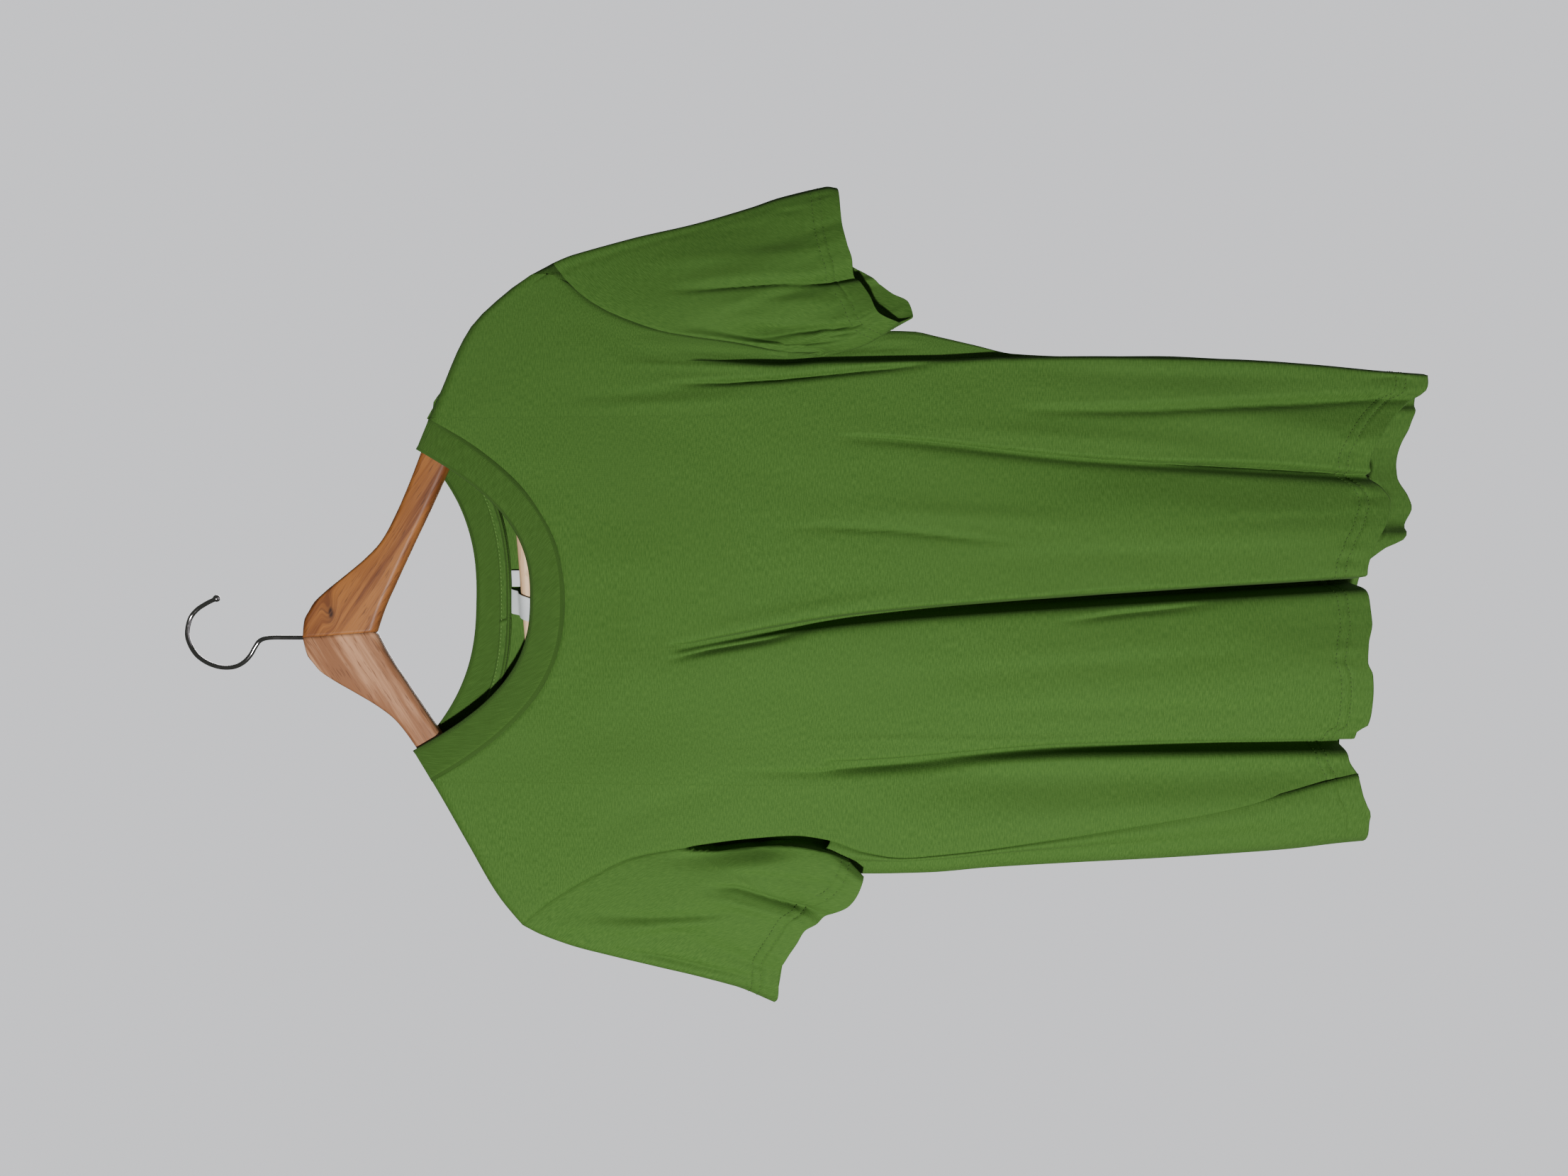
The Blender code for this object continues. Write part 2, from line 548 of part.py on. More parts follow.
def make_sleeve(name, front, back, side, cuffs, bow, folds, material):
    """A sleeve: straight lines from the armhole's seam to the cuff, stood off the body and puffed
    out between them, and then its folds."""
    loop, away, facing, share, in_front = seam_loop(front, back, side)
    forward = np.arange(len(loop)) < in_front
    ends = [as_points(smooth(share, cuff), smooth(share, cuff, 3), smooth(share, cuff, 2))
            for cuff in cuffs]
    ends = np.where(forward[:, None], *ends)
    way = np.asarray(SLEEVE_ROWS)[:, None]
    points = loop + (ends - loop) * way[..., None]
    under = ease(share, *GULLY_COMES) * (1 - ease(share, *GULLY_GOES))
    dip = GULLY * under * ease(way, *GULLY_IN) * (1 - ease(way, *GULLY_OUT))
    puff = PUFF * np.sin(math.pi * share) * np.sin(math.pi * way)
    below = np.where(forward, ease(share, *OFF_IN_FRONT), ease(share, *OFF_BEHIND))
    lift = CLEAR_OF_BODY * below * np.clip(way / LIFT_BY, 0, 1) * (1 - way**2)
    points += facing * lift[..., None]
    points[..., 0] += smooth(way, bow) * (1 - ease(share, 0, BOW_REACH))
    points[1:3] += away * (STEP_OVER * below)[:, None]
    for _, at, deep, width in folds:
        dip = dip + deep * ease(way, *FOLDS_GROW) * np.exp(-(((share - at) / width) ** 2))
    points[..., 1] += np.where(forward, dip - puff, PUFF_BEHIND * puff)
    add_wall(name, points, JERSEY, material, closed=True)


# ---------------------------------------------------------------- the neck
BAND_ROWS = (0, 0.25, 0.5, 0.75, 1)
BAND_STEPS = 34  # columns of the neckband in front, and as many behind
BAND_INSET = 0.9  # from the panels' neck edge to the band's
TAPE_ABOVE = 4.2
TAPE_BELOW = 3.6
TAPE_X = (-74, 120)
TRIM_GAP = 0.4  # from the band to the tape, and from the tape to the labels
# The main label comes forward over the hanger's bar. Columns: depth, drop below the bar's axis.
LABEL_PATH = (
    (5.3, -12.0), (4.2, -9.8), (1.8, -7.8), (-1.6, -6.8), (-4.4, -5.0), (-6.2, -2.4),
    (-6.7, 1.2), (-6.7, 7.0),
)
LABEL_X = (13.5, 30.0)
LABEL_LEAN = -8.0
SIZE_LABEL_X = (31.5, 42.5)
SIZE_LABEL_HEIGHT = 5.5


def make_neckband(material):
    """The band: a closed loop that follows the front's depth and then the back's, from the seam
    in to its free edge."""
    angle = np.linspace(0, math.pi, BAND_STEPS, endpoint=False)
    halves = []
    for seam, edge, turn, surface in (
        ("front seam", "front edge", -np.cos(angle), front_y),
        ("back seam", "back edge", np.cos(angle), back_y),
    ):
        outer_x = NECK_X + (NECK[seam]["half"] - BAND_INSET) * turn
        inner_x = NECK_X + NECK[edge]["half"] * turn
        outer_drop, inner_drop = neck(seam, outer_x, BAND_INSET), neck(edge, inner_x)
        row = np.asarray(BAND_ROWS)[:, None]
        x = outer_x + (inner_x - outer_x) * row
        drop = outer_drop + (inner_drop - outer_drop) * row
        drop = np.where(np.abs(turn) == 1, ridge(x), drop)
        halves.append(as_points(x, surface(x, drop), drop))
    add_wall("neckband", np.concatenate(halves, axis=1), RIB, material, closed=True)


def make_tape(material):
    """The tape: a strip over the back neck seam, just inside the band."""
    x = np.linspace(*TAPE_X, 40)
    drop = neck("back seam", x) + np.array([-TAPE_ABOVE, 0, TAPE_BELOW])[:, None]
    off = RIB / 2 + TRIM_GAP + TAPE / 2
    add_wall("neck_tape", as_points(x, back_y(x, drop) - off, drop), TAPE, material)


def make_label(material):
    """The main label: from the tape, forward over the bar and down in front of it."""
    route = np.array(LABEL_PATH)
    run = np.concatenate([[0], np.cumsum(np.linalg.norm(np.diff(route, axis=0), axis=1))])
    run = (run / run[-1])[:, None]
    x = np.linspace(*LABEL_X, 7) + LABEL_LEAN * run
    _, axis_z = upright((x - BLOCK_TOP[0]) / math.cos(TILT) - BAR_BELOW * math.tan(TILT), -BAR_BELOW)
    top = neck("back seam", x) + TAPE_BELOW + TRIM_GAP
    drop = np.where(run > 0, route[:, 1:] - axis_z, top)
    add_wall("neck_label", as_points(x, route[:, :1], drop), TAPE, material)


def make_size_label(material):
    """The small label: straight down from the tape, behind the bar."""
    down = np.linspace(0, 1, 4)[:, None]
    x = np.linspace(*SIZE_LABEL_X, 6)
    drop = neck("back seam", x) + TAPE_BELOW + TRIM_GAP + SIZE_LABEL_HEIGHT * down
    y = back_y(x, drop) - (RIB / 2 + TRIM_GAP + TAPE / 2)
    add_wall("size_label", as_points(x, y, drop), TAPE, material)


# ---------------------------------------------------------------- the hanger
# Half of it, from the middle out. Columns: from the middle, top and bottom below the block's top.
ARM = (
    (0.0, 0.0, 49.5), (12, 2.2, 54.5), (18, 6, 57.4), (23, 9.5, 60), (30, 18, 64),
    (40, 32.5, 69.5), (50, 46.5, 75.2), (60, 57.5, 80.9), (80, 70.5, 92.5), (97, 79.5, 102),
    (121, 91, 115), (148, 104, 131), (166, 114, 144), (178, 121, 160), (192, 128.8, 163),
    (198, 133, 160), (201, 138, 155), (202, 142, 151),
)
CORNER_STEPS = 4
HOOK_ROUTE = (
    (22.4, -16.2), (19.6, -10.7), (15.6, -4.9), (9.6, -0.4), (0.0, 1.5), (-7.6, -0.3),
    (-14.6, -4.7), (-19.6, -11.2), (-22.6, -18.7), (-23.4, -25.7), (-22.4, -31.9),
    (-19.4, -37.2), (-14.8, -41.4), (-9.6, -44.4), (-5.6, -47.2), (-3.7, -51.0), (-3.0, -57.0),
    (-3.0, -66.0), (-3.0, -76.0),
)
ROUTE_STEPS = 2


def upright(x, z):
    """A place on the hanger, from its own upright frame to where it hangs."""
    return (
        BLOCK_TOP[0] + x * math.cos(TILT) - z * math.sin(TILT),
        BLOCK_TOP[1] + x * math.sin(TILT) + z * math.cos(TILT),
    )


def arm_section(top, bottom):
    """Points (y, z) round a section of an arm, its corners rounded."""
    high, low = -top, -bottom
    corner = min(WOOD_ROUND, WOOD_THICK / 2 - 0.1, (high - low) / 2 - 0.1)
    wide = WOOD_THICK / 2 - corner
    section = []
    for start, y, z in ((0, wide, high - corner), (90, -wide, high - corner),
                        (180, -wide, low + corner), (270, wide, low + corner)):
        for step in range(CORNER_STEPS):
            turn = math.radians(start + 90 * step / (CORNER_STEPS - 1))
            section.append((y + corner * math.cos(turn), z + corner * math.sin(turn)))
    return section


def make_arm(name, side, material):
    """One arm: rounded sections from the mitre to the tip, bored for the wire and the bar."""
    build = bmesh.new()
    rings = []
    for out, top, bottom in ARM:
        across = side * max(out, FIT)
        ring = []
        for y, z in arm_section(top, bottom):
            x, z = upright(across, z)
            ring.append(build.verts.new((x * MM, y * MM, z * MM)))
        rings.append(ring)
    for ring, following in zip(rings, rings[1:]):
        for i in range(len(ring)):
            j = (i + 1) % len(ring)
            build.faces.new((ring[i], ring[j], following[j], following[i]))
    build.faces.new(rings[0])
    build.faces.new(rings[-1])
    bmesh.ops.recalc_face_normals(build, faces=build.faces)
    mesh = bpy.data.meshes.new(name)
    build.to_mesh(mesh)
    build.free()
    mesh.materials.append(material)
    arm = bpy.data.objects.new(name, mesh)
    shirt.objects.link(arm)
    for cutter in (wire_hole, bar_hole):
        cut = arm.modifiers.new(cutter.name, "BOOLEAN")
        cut.operation = "DIFFERENCE"
        cut.object = cutter
    return arm


def rod(name, middle, radius, length, turn, sides, home, material=None):
    """A cylinder with its middle at a place on the hanger, turned about Y with the hanger."""
    bpy.ops.mesh.primitive_cylinder_add(vertices=sides, radius=radius * MM, depth=length * MM)
    made = bpy.context.object
    made.name = name
    x, z = upright(*middle)
    made.location = (x * MM, 0, z * MM)
    made.rotation_euler = (0, turn - TILT, 0)
    for holder in made.users_collection:
        holder.objects.unlink(made)
    home.objects.link(made)
    if material:
        made.data.materials.append(material)
    else:
        made.hide_render = True
        made.display_type = "WIRE"
    return made


def through(route, steps):
    """A smooth curve (Catmull-Rom) through the route's points."""
    points = np.array([route[0], *route, route[-1]], float)
    found = []
    for a, b, c, d in zip(points, points[1:], points[2:], points[3:]):
        for t in np.arange(steps) / steps:
            found.append(0.5 * (2 * b + (c - a) * t + (2 * a - 5 * b + 4 * c - d) * t * t
                                + (3 * b - a - 3 * c + d) * t**3))
    return np.array([*found, points[-1]])


def make_hook(material):
    """The wire hook: straight up out of the wood, round, and a small ball at its tip."""
    path = through(HOOK_ROUTE, ROUTE_STEPS)
    tip = path[0]
    out = (path[0] - path[1]) / np.linalg.norm(path[0] - path[1])
    ball = []
    for turn in (80, 50, 20, -10, -40):
        middle = tip + out * BALL_RADIUS
        ball.append((*(middle + out * BALL_RADIUS * math.sin(math.radians(turn))),
                     BALL_RADIUS * math.cos(math.radians(turn)) / WIRE_RADIUS))
    foot = upright(0, -WIRE_IN_WOOD)
    rows = ball + [(x, z, 1) for x, z in path] + [(*foot, 1)]
    curve = bpy.data.curves.new("hanger_hook", "CURVE")
    curve.dimensions = "3D"
    curve.bevel_depth = WIRE_RADIUS * MM
    curve.bevel_resolution = 2
    curve.use_fill_caps = True
    spline = curve.splines.new("POLY")
    spline.points.add(len(rows) - 1)
    for point, (x, z, swell) in zip(spline.points, rows):
        point.co = (x * MM, 0, z * MM, 1)
        point.radius = swell
    curve.materials.append(material)
    shirt.objects.link(bpy.data.objects.new("hanger_hook", curve))


# ---------------------------------------------------------------- the whole
for old in list(bpy.data.objects):
    bpy.data.objects.remove(old)

shirt = bpy.data.collections.new("t-shirt on hanger")
cutters = bpy.data.collections.new("cutters")
bpy.context.scene.collection.children.link(shirt)
bpy.context.scene.collection.children.link(cutters)

GREEN = (0.07, 0.16, 0.025)
front_points = make_front(paint("front jersey", GREEN, 0.9))
back_points = make_back(paint("back jersey", GREEN, 0.9))
make_sleeve("left_sleeve", front_points, back_points, "left",
            (CUFF_LEFT_FRONT, CUFF_LEFT_BACK), BOW_LEFT, SLEEVE_FOLDS_LEFT,
            paint("left sleeve jersey", GREEN, 0.9))
make_sleeve("right_sleeve", front_points, back_points, "right",
            (CUFF_RIGHT_FRONT, CUFF_RIGHT_BACK), BOW_RIGHT, SLEEVE_FOLDS_RIGHT,
            paint("right sleeve jersey", GREEN, 0.9))
make_neckband(paint("rib", (0.065, 0.15, 0.025), 0.92))
make_tape(paint("tape", (0.06, 0.14, 0.022), 0.9))
make_label(paint("label", (0.75, 0.76, 0.74), 0.7))
make_size_label(paint("size label", (0.75, 0.76, 0.74), 0.7))

wire_hole = rod("wire_hole", (0, -WIRE_IN_WOOD / 2), WIRE_RADIUS + FIT,
                WIRE_IN_WOOD + 2 * FIT + 1, 0, 12, cutters)
bar_hole = rod("bar_hole", (0, -BAR_BELOW), BAR_RADIUS + FIT, 2 * (BAR_HALF + FIT),
               math.pi / 2, 24, cutters)
make_arm("hanger_arm_left", -1, paint("left arm wood", (0.42, 0.22, 0.13), 0.35))
make_arm("hanger_arm_right", 1, paint("right arm wood", (0.36, 0.15, 0.05), 0.35))
rod("hanger_bar", (0, -BAR_BELOW), BAR_RADIUS, 2 * BAR_HALF, math.pi / 2, 24, shirt,
    paint("bar wood", (0.62, 0.45, 0.28), 0.5))
make_hook(paint("wire", (0.75, 0.75, 0.76), 0.15, 1.0))
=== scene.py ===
"""A green cotton-jersey T-shirt on a wooden hanger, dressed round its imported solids.

Everything is in the solids' own frame: +Z up, the shirt's front faces -Y, and the origin is the
inside top of the wire hook. Shapes are worked out in millimetres and become metres in the mesh.
"drop" is the distance below the origin, so z = -drop.
"""

import math

import bpy
import numpy as np
from mathutils import Matrix, Vector


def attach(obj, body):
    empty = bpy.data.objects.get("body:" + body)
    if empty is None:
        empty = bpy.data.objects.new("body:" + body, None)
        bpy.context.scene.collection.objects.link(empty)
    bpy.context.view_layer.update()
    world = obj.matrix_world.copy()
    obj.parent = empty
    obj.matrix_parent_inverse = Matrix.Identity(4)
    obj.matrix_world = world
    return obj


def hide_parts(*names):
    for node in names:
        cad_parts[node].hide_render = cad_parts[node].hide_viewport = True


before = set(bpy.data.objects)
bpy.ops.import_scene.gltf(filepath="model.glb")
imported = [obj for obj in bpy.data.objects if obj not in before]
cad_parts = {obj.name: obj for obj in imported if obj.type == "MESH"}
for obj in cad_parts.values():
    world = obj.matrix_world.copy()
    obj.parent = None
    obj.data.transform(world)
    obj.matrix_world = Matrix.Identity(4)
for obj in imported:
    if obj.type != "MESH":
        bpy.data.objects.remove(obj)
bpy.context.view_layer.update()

# ------------------------------------------------------------------ camera, light and floor
# The shirt is seen from straight in front, by a camera lying on its side so that the hook points
# to the picture's left. One lamp a little to the left of the camera throws the dark edges of the
# folds, the pale room fills them weakly, and a floor lies well below.
EYE = (0.0305, -0.80, -0.4025)
# Rows: the X, Y and Z parts of where the camera's right, its up and its back point.
EYE_AXES = ((0, 1, 0), (0, 0, -1), (-1, 0, 0))
LENS, SENSOR = 27.13, 36.0
KEY_AT, KEY_WATTS, KEY_SIZE = (-0.66, -1.45, -0.40), 46.5, 0.07
BEHIND_AT, BEHIND_WATTS, BEHIND_SIZE = (0.5, 1.9, 0.3), 40.0, 1.2
LAMPS_FACE = (0.03, 0, -0.42)  # the middle of the shirt
ROOM_SEEN = (0.92, 0.925, 0.96)  # the room as the camera sees it
FILL_COLOUR, FILL_STRENGTH = (0.90, 1.0, 0.86), 0.11  # the weak light it gives
FLOOR_Z, FLOOR_HALF = -1.9, 1.4


def add_lamp(name, place, watts, size):
    """A square lamp that faces the middle of the shirt."""
    lamp = bpy.data.objects.new(name, bpy.data.lights.new(name, "AREA"))
    lamp.data.energy = watts
    lamp.data.size = size
    lamp.location = place
    away = Vector(place) - Vector(LAMPS_FACE)
    lamp.rotation_euler = away.to_track_quat("Z", "Y").to_euler()
    bpy.context.scene.collection.objects.link(lamp)


camera = bpy.data.objects.new("camera", bpy.data.cameras.new("camera"))
camera.data.lens = LENS
camera.data.sensor_width = SENSOR
camera.location = EYE
camera.rotation_euler = Matrix(EYE_AXES).to_euler()
bpy.context.scene.collection.objects.link(camera)
bpy.context.scene.camera = camera

add_lamp("key lamp", KEY_AT, KEY_WATTS, KEY_SIZE)
add_lamp("lamp behind", BEHIND_AT, BEHIND_WATTS, BEHIND_SIZE)

room = bpy.data.worlds.new("pale room")
bpy.context.scene.world = room
room.use_nodes = True
room.node_tree.nodes.clear()
seen = room.node_tree.nodes.new("ShaderNodeBackground")
seen.inputs["Color"].default_value = (*ROOM_SEEN, 1)
fill = room.node_tree.nodes.new("ShaderNodeBackground")
fill.inputs["Strength"].default_value = FILL_STRENGTH
fill.inputs["Color"].default_value = (*FILL_COLOUR, 1)
rays = room.node_tree.nodes.new("ShaderNodeLightPath")
either = room.node_tree.nodes.new("ShaderNodeMixShader")
room.node_tree.links.new(rays.outputs["Is Camera Ray"], either.inputs[0])
room.node_tree.links.new(fill.outputs[0], either.inputs[1])
room.node_tree.links.new(seen.outputs[0], either.inputs[2])
sky = room.node_tree.nodes.new("ShaderNodeOutputWorld")
room.node_tree.links.new(either.outputs[0], sky.inputs["Surface"])

floor_mesh = bpy.data.meshes.new("floor")
corners = ((-1, -1), (1, -1), (1, 1), (-1, 1))
floor_corners = [(x * FLOOR_HALF, y * FLOOR_HALF, FLOOR_Z) for x, y in corners]
floor_mesh.from_pydata(floor_corners, [], [(0, 1, 2, 3)])
floor_paint = bpy.data.materials.new("floor paint")
floor_paint.use_nodes = True
floor_paint.node_tree.nodes["Principled BSDF"].inputs["Base Color"].default_value = (*ROOM_SEEN, 1)
floor_mesh.materials.append(floor_paint)
floor = bpy.data.objects.new("floor", floor_mesh)
bpy.context.scene.collection.objects.link(floor)

# ------------------------------------------------------------------ the wire hook
# Bright plated steel wire, 3 mm thick: bent into an open hook with its tip rounded into a small
# ball, and its straight shank pushed up through the mitre of the two wooden arms.
MM = 0.001
BLOCK_TOP = (-3.0, -77.5)  # x, z of the top of the wood, where the wire goes in
TILT = math.radians(4.6)  # the hanger hangs a little low on the left
WIRE_RADIUS = 1.5
BALL_RADIUS = 2.4
WIRE_IN_WOOD = 30.0
HOOK_ROUTE = (
    (22.4, -16.2), (19.6, -10.7), (15.6, -4.9), (9.6, -0.4), (0.0, 1.5), (-7.6, -0.3),
    (-14.6, -4.7), (-19.6, -11.2), (-22.6, -18.7), (-23.4, -25.7), (-22.4, -31.9),
    (-19.4, -37.2), (-14.8, -41.4), (-9.6, -44.4), (-5.6, -47.2), (-3.7, -51.0), (-3.0, -57.0),
    (-3.0, -66.0), (-3.0, -76.0),
)
HOOK_STEPS = 10  # sections from one point of the route to the next
WIRE_SIDES = 20


class Shade:
    """A socket of a material's nodes. Arithmetic on it adds Math nodes, so 1 - mask works."""

    def __init__(self, tree, socket=None):
        self.tree = tree
        self.socket = socket

    def node(self, kind, settings=None, values=None, out=0):
        """A node of this kind: first its settings, then the values or links of its sockets."""
        made = self.tree.nodes.new(kind)
        for name, value in (settings or {}).items():
            if name == "stops":
                while len(made.color_ramp.elements) < len(value):
                    made.color_ramp.elements.new(1.0)
                for element, (place, colour) in zip(made.color_ramp.elements, value):
                    element.position = place
                    element.color = (*colour, 1)
            else:
                setattr(made, name, value)
        for name, value in (values or {}).items():
            if isinstance(value, Shade):
                self.tree.links.new(value.socket, made.inputs[name])
            else:
                made.inputs[name].default_value = value
        return Shade(self.tree, made.outputs[out])

    def maths(self, operation, *values):
        return self.node("ShaderNodeMath", {"operation": operation}, dict(enumerate(values)))

    def __add__(self, other):
        return self.maths("ADD", self, other)

    def __rsub__(self, other):
        return self.maths("SUBTRACT", other, self)

    def __mul__(self, other):
        return self.maths("MULTIPLY", self, other)

    __radd__ = __add__
    __rmul__ = __mul__

    def between(self, low, high):
        """0 below low and 1 above high, smooth between them."""
        settings = {"interpolation_type": "SMOOTHSTEP"}
        return self.node("ShaderNodeMapRange", settings, {0: self, 1: low, 2: high})

    def mixed(self, first, second):
        """first where this is 0 and second where it is 1; both are colours."""
        return self.node("ShaderNodeMix", {"data_type": "RGBA"}, {0: self, 6: first, 7: second}, 2)

    def own_place(self):
        """Where a point lies on its piece (Object coordinates)."""
        return self.node("ShaderNodeTexCoord", out=3)

    def vectors(self, operation, other):
        return self.node("ShaderNodeVectorMath", {"operation": operation}, {0: self, 1: other})

    def mapped(self, **sockets):
        """This place turned or scaled."""
        return self.node("ShaderNodeMapping", {}, {"Vector": self, **sockets})

    def noise(self, scale=1.0, **sockets):
        """Noise at this place."""
        return self.node("ShaderNodeTexNoise", {}, {"Vector": self, "Scale": scale, **sockets})

    def wave(self, length):
        """A wave from 0 to 1 that repeats every length of this value."""
        return self.maths("SINE", self * (2 * math.pi / length)) * 0.5 + 0.5

    def bump(self, strength, distance):
        """The normal of a surface with this height on it."""
        sockets = {"Height": self, "Strength": strength, "Distance": distance}
        return self.node("ShaderNodeBump", {}, sockets)


def start_finish(name, sockets):
    """A Principled material with the sockets set that are the same all over: the material, a
    Shade to make its nodes with, and a function that links what varies."""
    material = bpy.data.materials.new(name)
    material.use_nodes = True
    shader = material.node_tree.nodes["Principled BSDF"]
    for socket, value in sockets.items():
        shader.inputs[socket].default_value = value

    def link(varying):
        for socket, shade in varying.items():
            material.node_tree.links.new(shade.socket, shader.inputs[socket])

    return material, Shade(material.node_tree), link


def as_object(name, points, faces, material):
    """Points in millimetres and their faces as a smooth piece of one material."""
    mesh = bpy.data.meshes.new(name)
    mesh.from_pydata((points * MM).tolist(), [], faces)
    mesh.shade_smooth()
    mesh.materials.append(material)
    made = bpy.data.objects.new(name, mesh)
    bpy.context.scene.collection.objects.link(made)
    return made


def grid_mesh(name, points, material, closed=False, capped=False, down=None):
    """A surface from a grid of points in millimetres, as an object: every four neighbours are a
    face, but for those with a missing point. With closed, the last column joins the first; with
    capped, the first and last rows are filled. Its UV map "cloth" is in metres: the way run
    along the row from the middle column, and down the column (or "down", where it is given)."""
    rows, columns = points.shape[:2]
    steps = columns if closed else columns - 1
    padded = np.concatenate([points, points[:, :1]], axis=1) if closed else points
    along = np.linalg.norm(np.nan_to_num(np.diff(padded, axis=1)), axis=-1)
    along = np.pad(np.cumsum(along, axis=1), ((0, 0), (1, 0)))
    along = along - along[:, columns // 2, None]
    if down is None:
        down = np.linalg.norm(np.nan_to_num(np.diff(padded, axis=0)), axis=-1)
        down = np.pad(np.cumsum(down, axis=0), ((1, 0), (0, 0)))
    flat = np.stack(np.broadcast_arrays(along, down), axis=-1).reshape(-1, 2) * MM
    row, column = np.arange(rows - 1)[:, None], np.arange(steps)
    turns = [(0, 0), (1, 0), (1, 1), (0, 1)]
    faces = np.stack([(row + i) * columns + (column + j) % columns for i, j in turns], axis=-1)
    places = np.stack([(row + i) * padded.shape[1] + column + j for i, j in turns], axis=-1)
    faces, places = faces.reshape(-1, 4), places.reshape(-1, 4)
    there = ~np.isnan(points[..., 0].ravel())
    whole = there[faces].all(axis=1)
    faces, places = (np.cumsum(there) - 1)[faces[whole]].tolist(), places[whole]
    flat = flat[places].reshape(-1, 2)
    if capped:
        last = range(rows * columns - 1, (rows - 1) * columns - 1, -1)
        faces = faces + [list(range(columns)), list(last)]
        flat = np.concatenate([flat, np.zeros((2 * columns, 2))])
    made = as_object(name, points.reshape(-1, 3)[there], faces, material)
    layer = made.data.uv_layers.new(name="cloth")
    layer.data.foreach_set("uv", flat.astype(np.float32).ravel())
    return made


def upright(x, z):
    """A place on the hanger, from its own upright frame to where it hangs: turned by TILT."""
    return (
        BLOCK_TOP[0] + x * math.cos(TILT) - z * math.sin(TILT),
        BLOCK_TOP[1] + x * math.sin(TILT) + z * math.cos(TILT),
    )


def through(route, steps):
    """A smooth curve (Catmull-Rom) through the route's points: each span is a cubic whose end
    slopes are half the way between the points on either side."""
    points = np.array([route[0], *route, route[-1]], float)
    a, b, c, d = (points[i : len(points) - 3 + i, None] for i in range(4))
    t = (np.arange(steps) / steps)[:, None]
    run = 0.5 * (2 * b + (c - a) * t + (2 * a - 5 * b + 4 * c - d) * t**2
                 + (3 * b - a - 3 * c + d) * t**3)
    return np.concatenate([run.reshape(-1, 2), points[-1:]])


def pipe(path, radius, sides):
    """A tube round a path in the X-Z plane: at every point a circle of that point's radius,
    square to the path."""
    tangent = np.gradient(path, axis=0)
    tangent /= np.linalg.norm(tangent, axis=1, keepdims=True)
    turn = np.arange(sides) / sides * 2 * math.pi
    across = np.stack([-tangent[:, 1], np.zeros(len(path)), tangent[:, 0]], axis=-1)[:, None]
    middle = np.stack([path[:, 0], np.zeros(len(path)), path[:, 1]], axis=-1)[:, None]
    round_it = across * np.cos(turn)[:, None] + np.array([0, 1, 0]) * np.sin(turn)[:, None]
    return middle + round_it * radius[:, None, None]


def chrome_finish():
    """Plated steel: mirror-bright, with fine rubbing along it and a little dulling in patches."""
    material, shade, link = start_finish(
        "plated wire", {"Base Color": (0.34, 0.315, 0.33, 1), "Metallic": 1.0}
    )
    place = shade.own_place()
    patches, rubbed = place.noise(140.0, Detail=5.0), place.noise(1400.0)
    link({"Roughness": 0.05 + 0.16 * patches.between(0.4, 0.75) + 0.05 * rubbed})
    return material


route = through(HOOK_ROUTE, HOOK_STEPS)
tip_way = (route[0] - route[1]) / np.linalg.norm(route[0] - route[1])
ball_turn = np.radians(np.linspace(88, -48, 14))
ball = route[0] + tip_way * BALL_RADIUS * (1 + np.sin(ball_turn))[:, None]
shank = np.array([upright(0, -WIRE_IN_WOOD)])
wire_path = np.concatenate([ball, route, shank])
even = np.full(len(route) + 1, WIRE_RADIUS)
wire_radius = np.concatenate([BALL_RADIUS * np.cos(ball_turn), even])
hook = grid_mesh("wire_hook", pipe(wire_path, wire_radius, WIRE_SIDES), chrome_finish(),
                 closed=True, capped=True)
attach(hook, "root")
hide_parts("hanger_hook")

# ------------------------------------------------------------------ the hanger's two arms
# Beech, sawn to a shoulder curve from 12 mm board, rounded over, glued in a mitre at the middle
# and varnished. The right one is browner and has a knot near the mitre; the left one is paler.
WOOD_THICK = 12.0
WOOD_ROUND = 4.5
MITRE_GAP = 0.03
# From the middle out. Columns: from the middle, top and bottom below the block's top.
ARM = (
    (0.0, 0.0, 49.5), (12, 2.2, 54.5), (18, 6, 57.4), (23, 9.5, 60), (30, 18, 64),
    (40, 32.5, 69.5), (50, 46.5, 75.2), (60, 57.5, 80.9), (80, 70.5, 92.5), (97, 79.5, 102),
    (121, 91, 115), (148, 104, 131), (166, 114, 144), (178, 121, 160), (192, 128.8, 163),
    (198, 133, 160), (201, 138, 155), (202, 142, 151),
)
ARM_SECTIONS = 150
CORNER_STEPS = 9
GRAIN_SLOPE = math.radians(33)  # the grain follows the slope of the arm
KNOT_AT = (0.014, -0.006, -0.098)
KNOT_SHAPE = (1, 0.3, 2.2)  # how much nearer it counts along X, Y and Z


def smooth(at, rows, column=1):
    """A curve through a table's rows that never swings past them (monotone cubic), level past
    the ends. The first column is what it is read at."""
    knots = np.array([row[0] for row in rows], float)
    values = np.array([row[column] for row in rows], float)
    gaps = np.diff(knots)
    slopes = np.diff(values) / gaps
    tangents = np.zeros_like(values)
    tangents[0], tangents[-1] = slopes[0], slopes[-1]
    same = slopes[:-1] * slopes[1:] > 0
    before, after = 2 * gaps[1:] + gaps[:-1], gaps[1:] + 2 * gaps[:-1]
    safe = np.where(same, slopes[:-1], 1), np.where(same, slopes[1:], 1)
    tangents[1:-1] = np.where(same, (before + after) / (before / safe[0] + after / safe[1]), 0)
    at = np.clip(np.asarray(at, float), knots[0], knots[-1])
    i = np.clip(np.searchsorted(knots, at) - 1, 0, len(gaps) - 1)
    t = (at - knots[i]) / gaps[i]
    return (
        values[i] * (1 + 2 * t) * (1 - t) ** 2
        + values[i + 1] * t * t * (3 - 2 * t)
        + gaps[i] * t * (1 - t) * (tangents[i] * (1 - t) - tangents[i + 1] * t)
    )


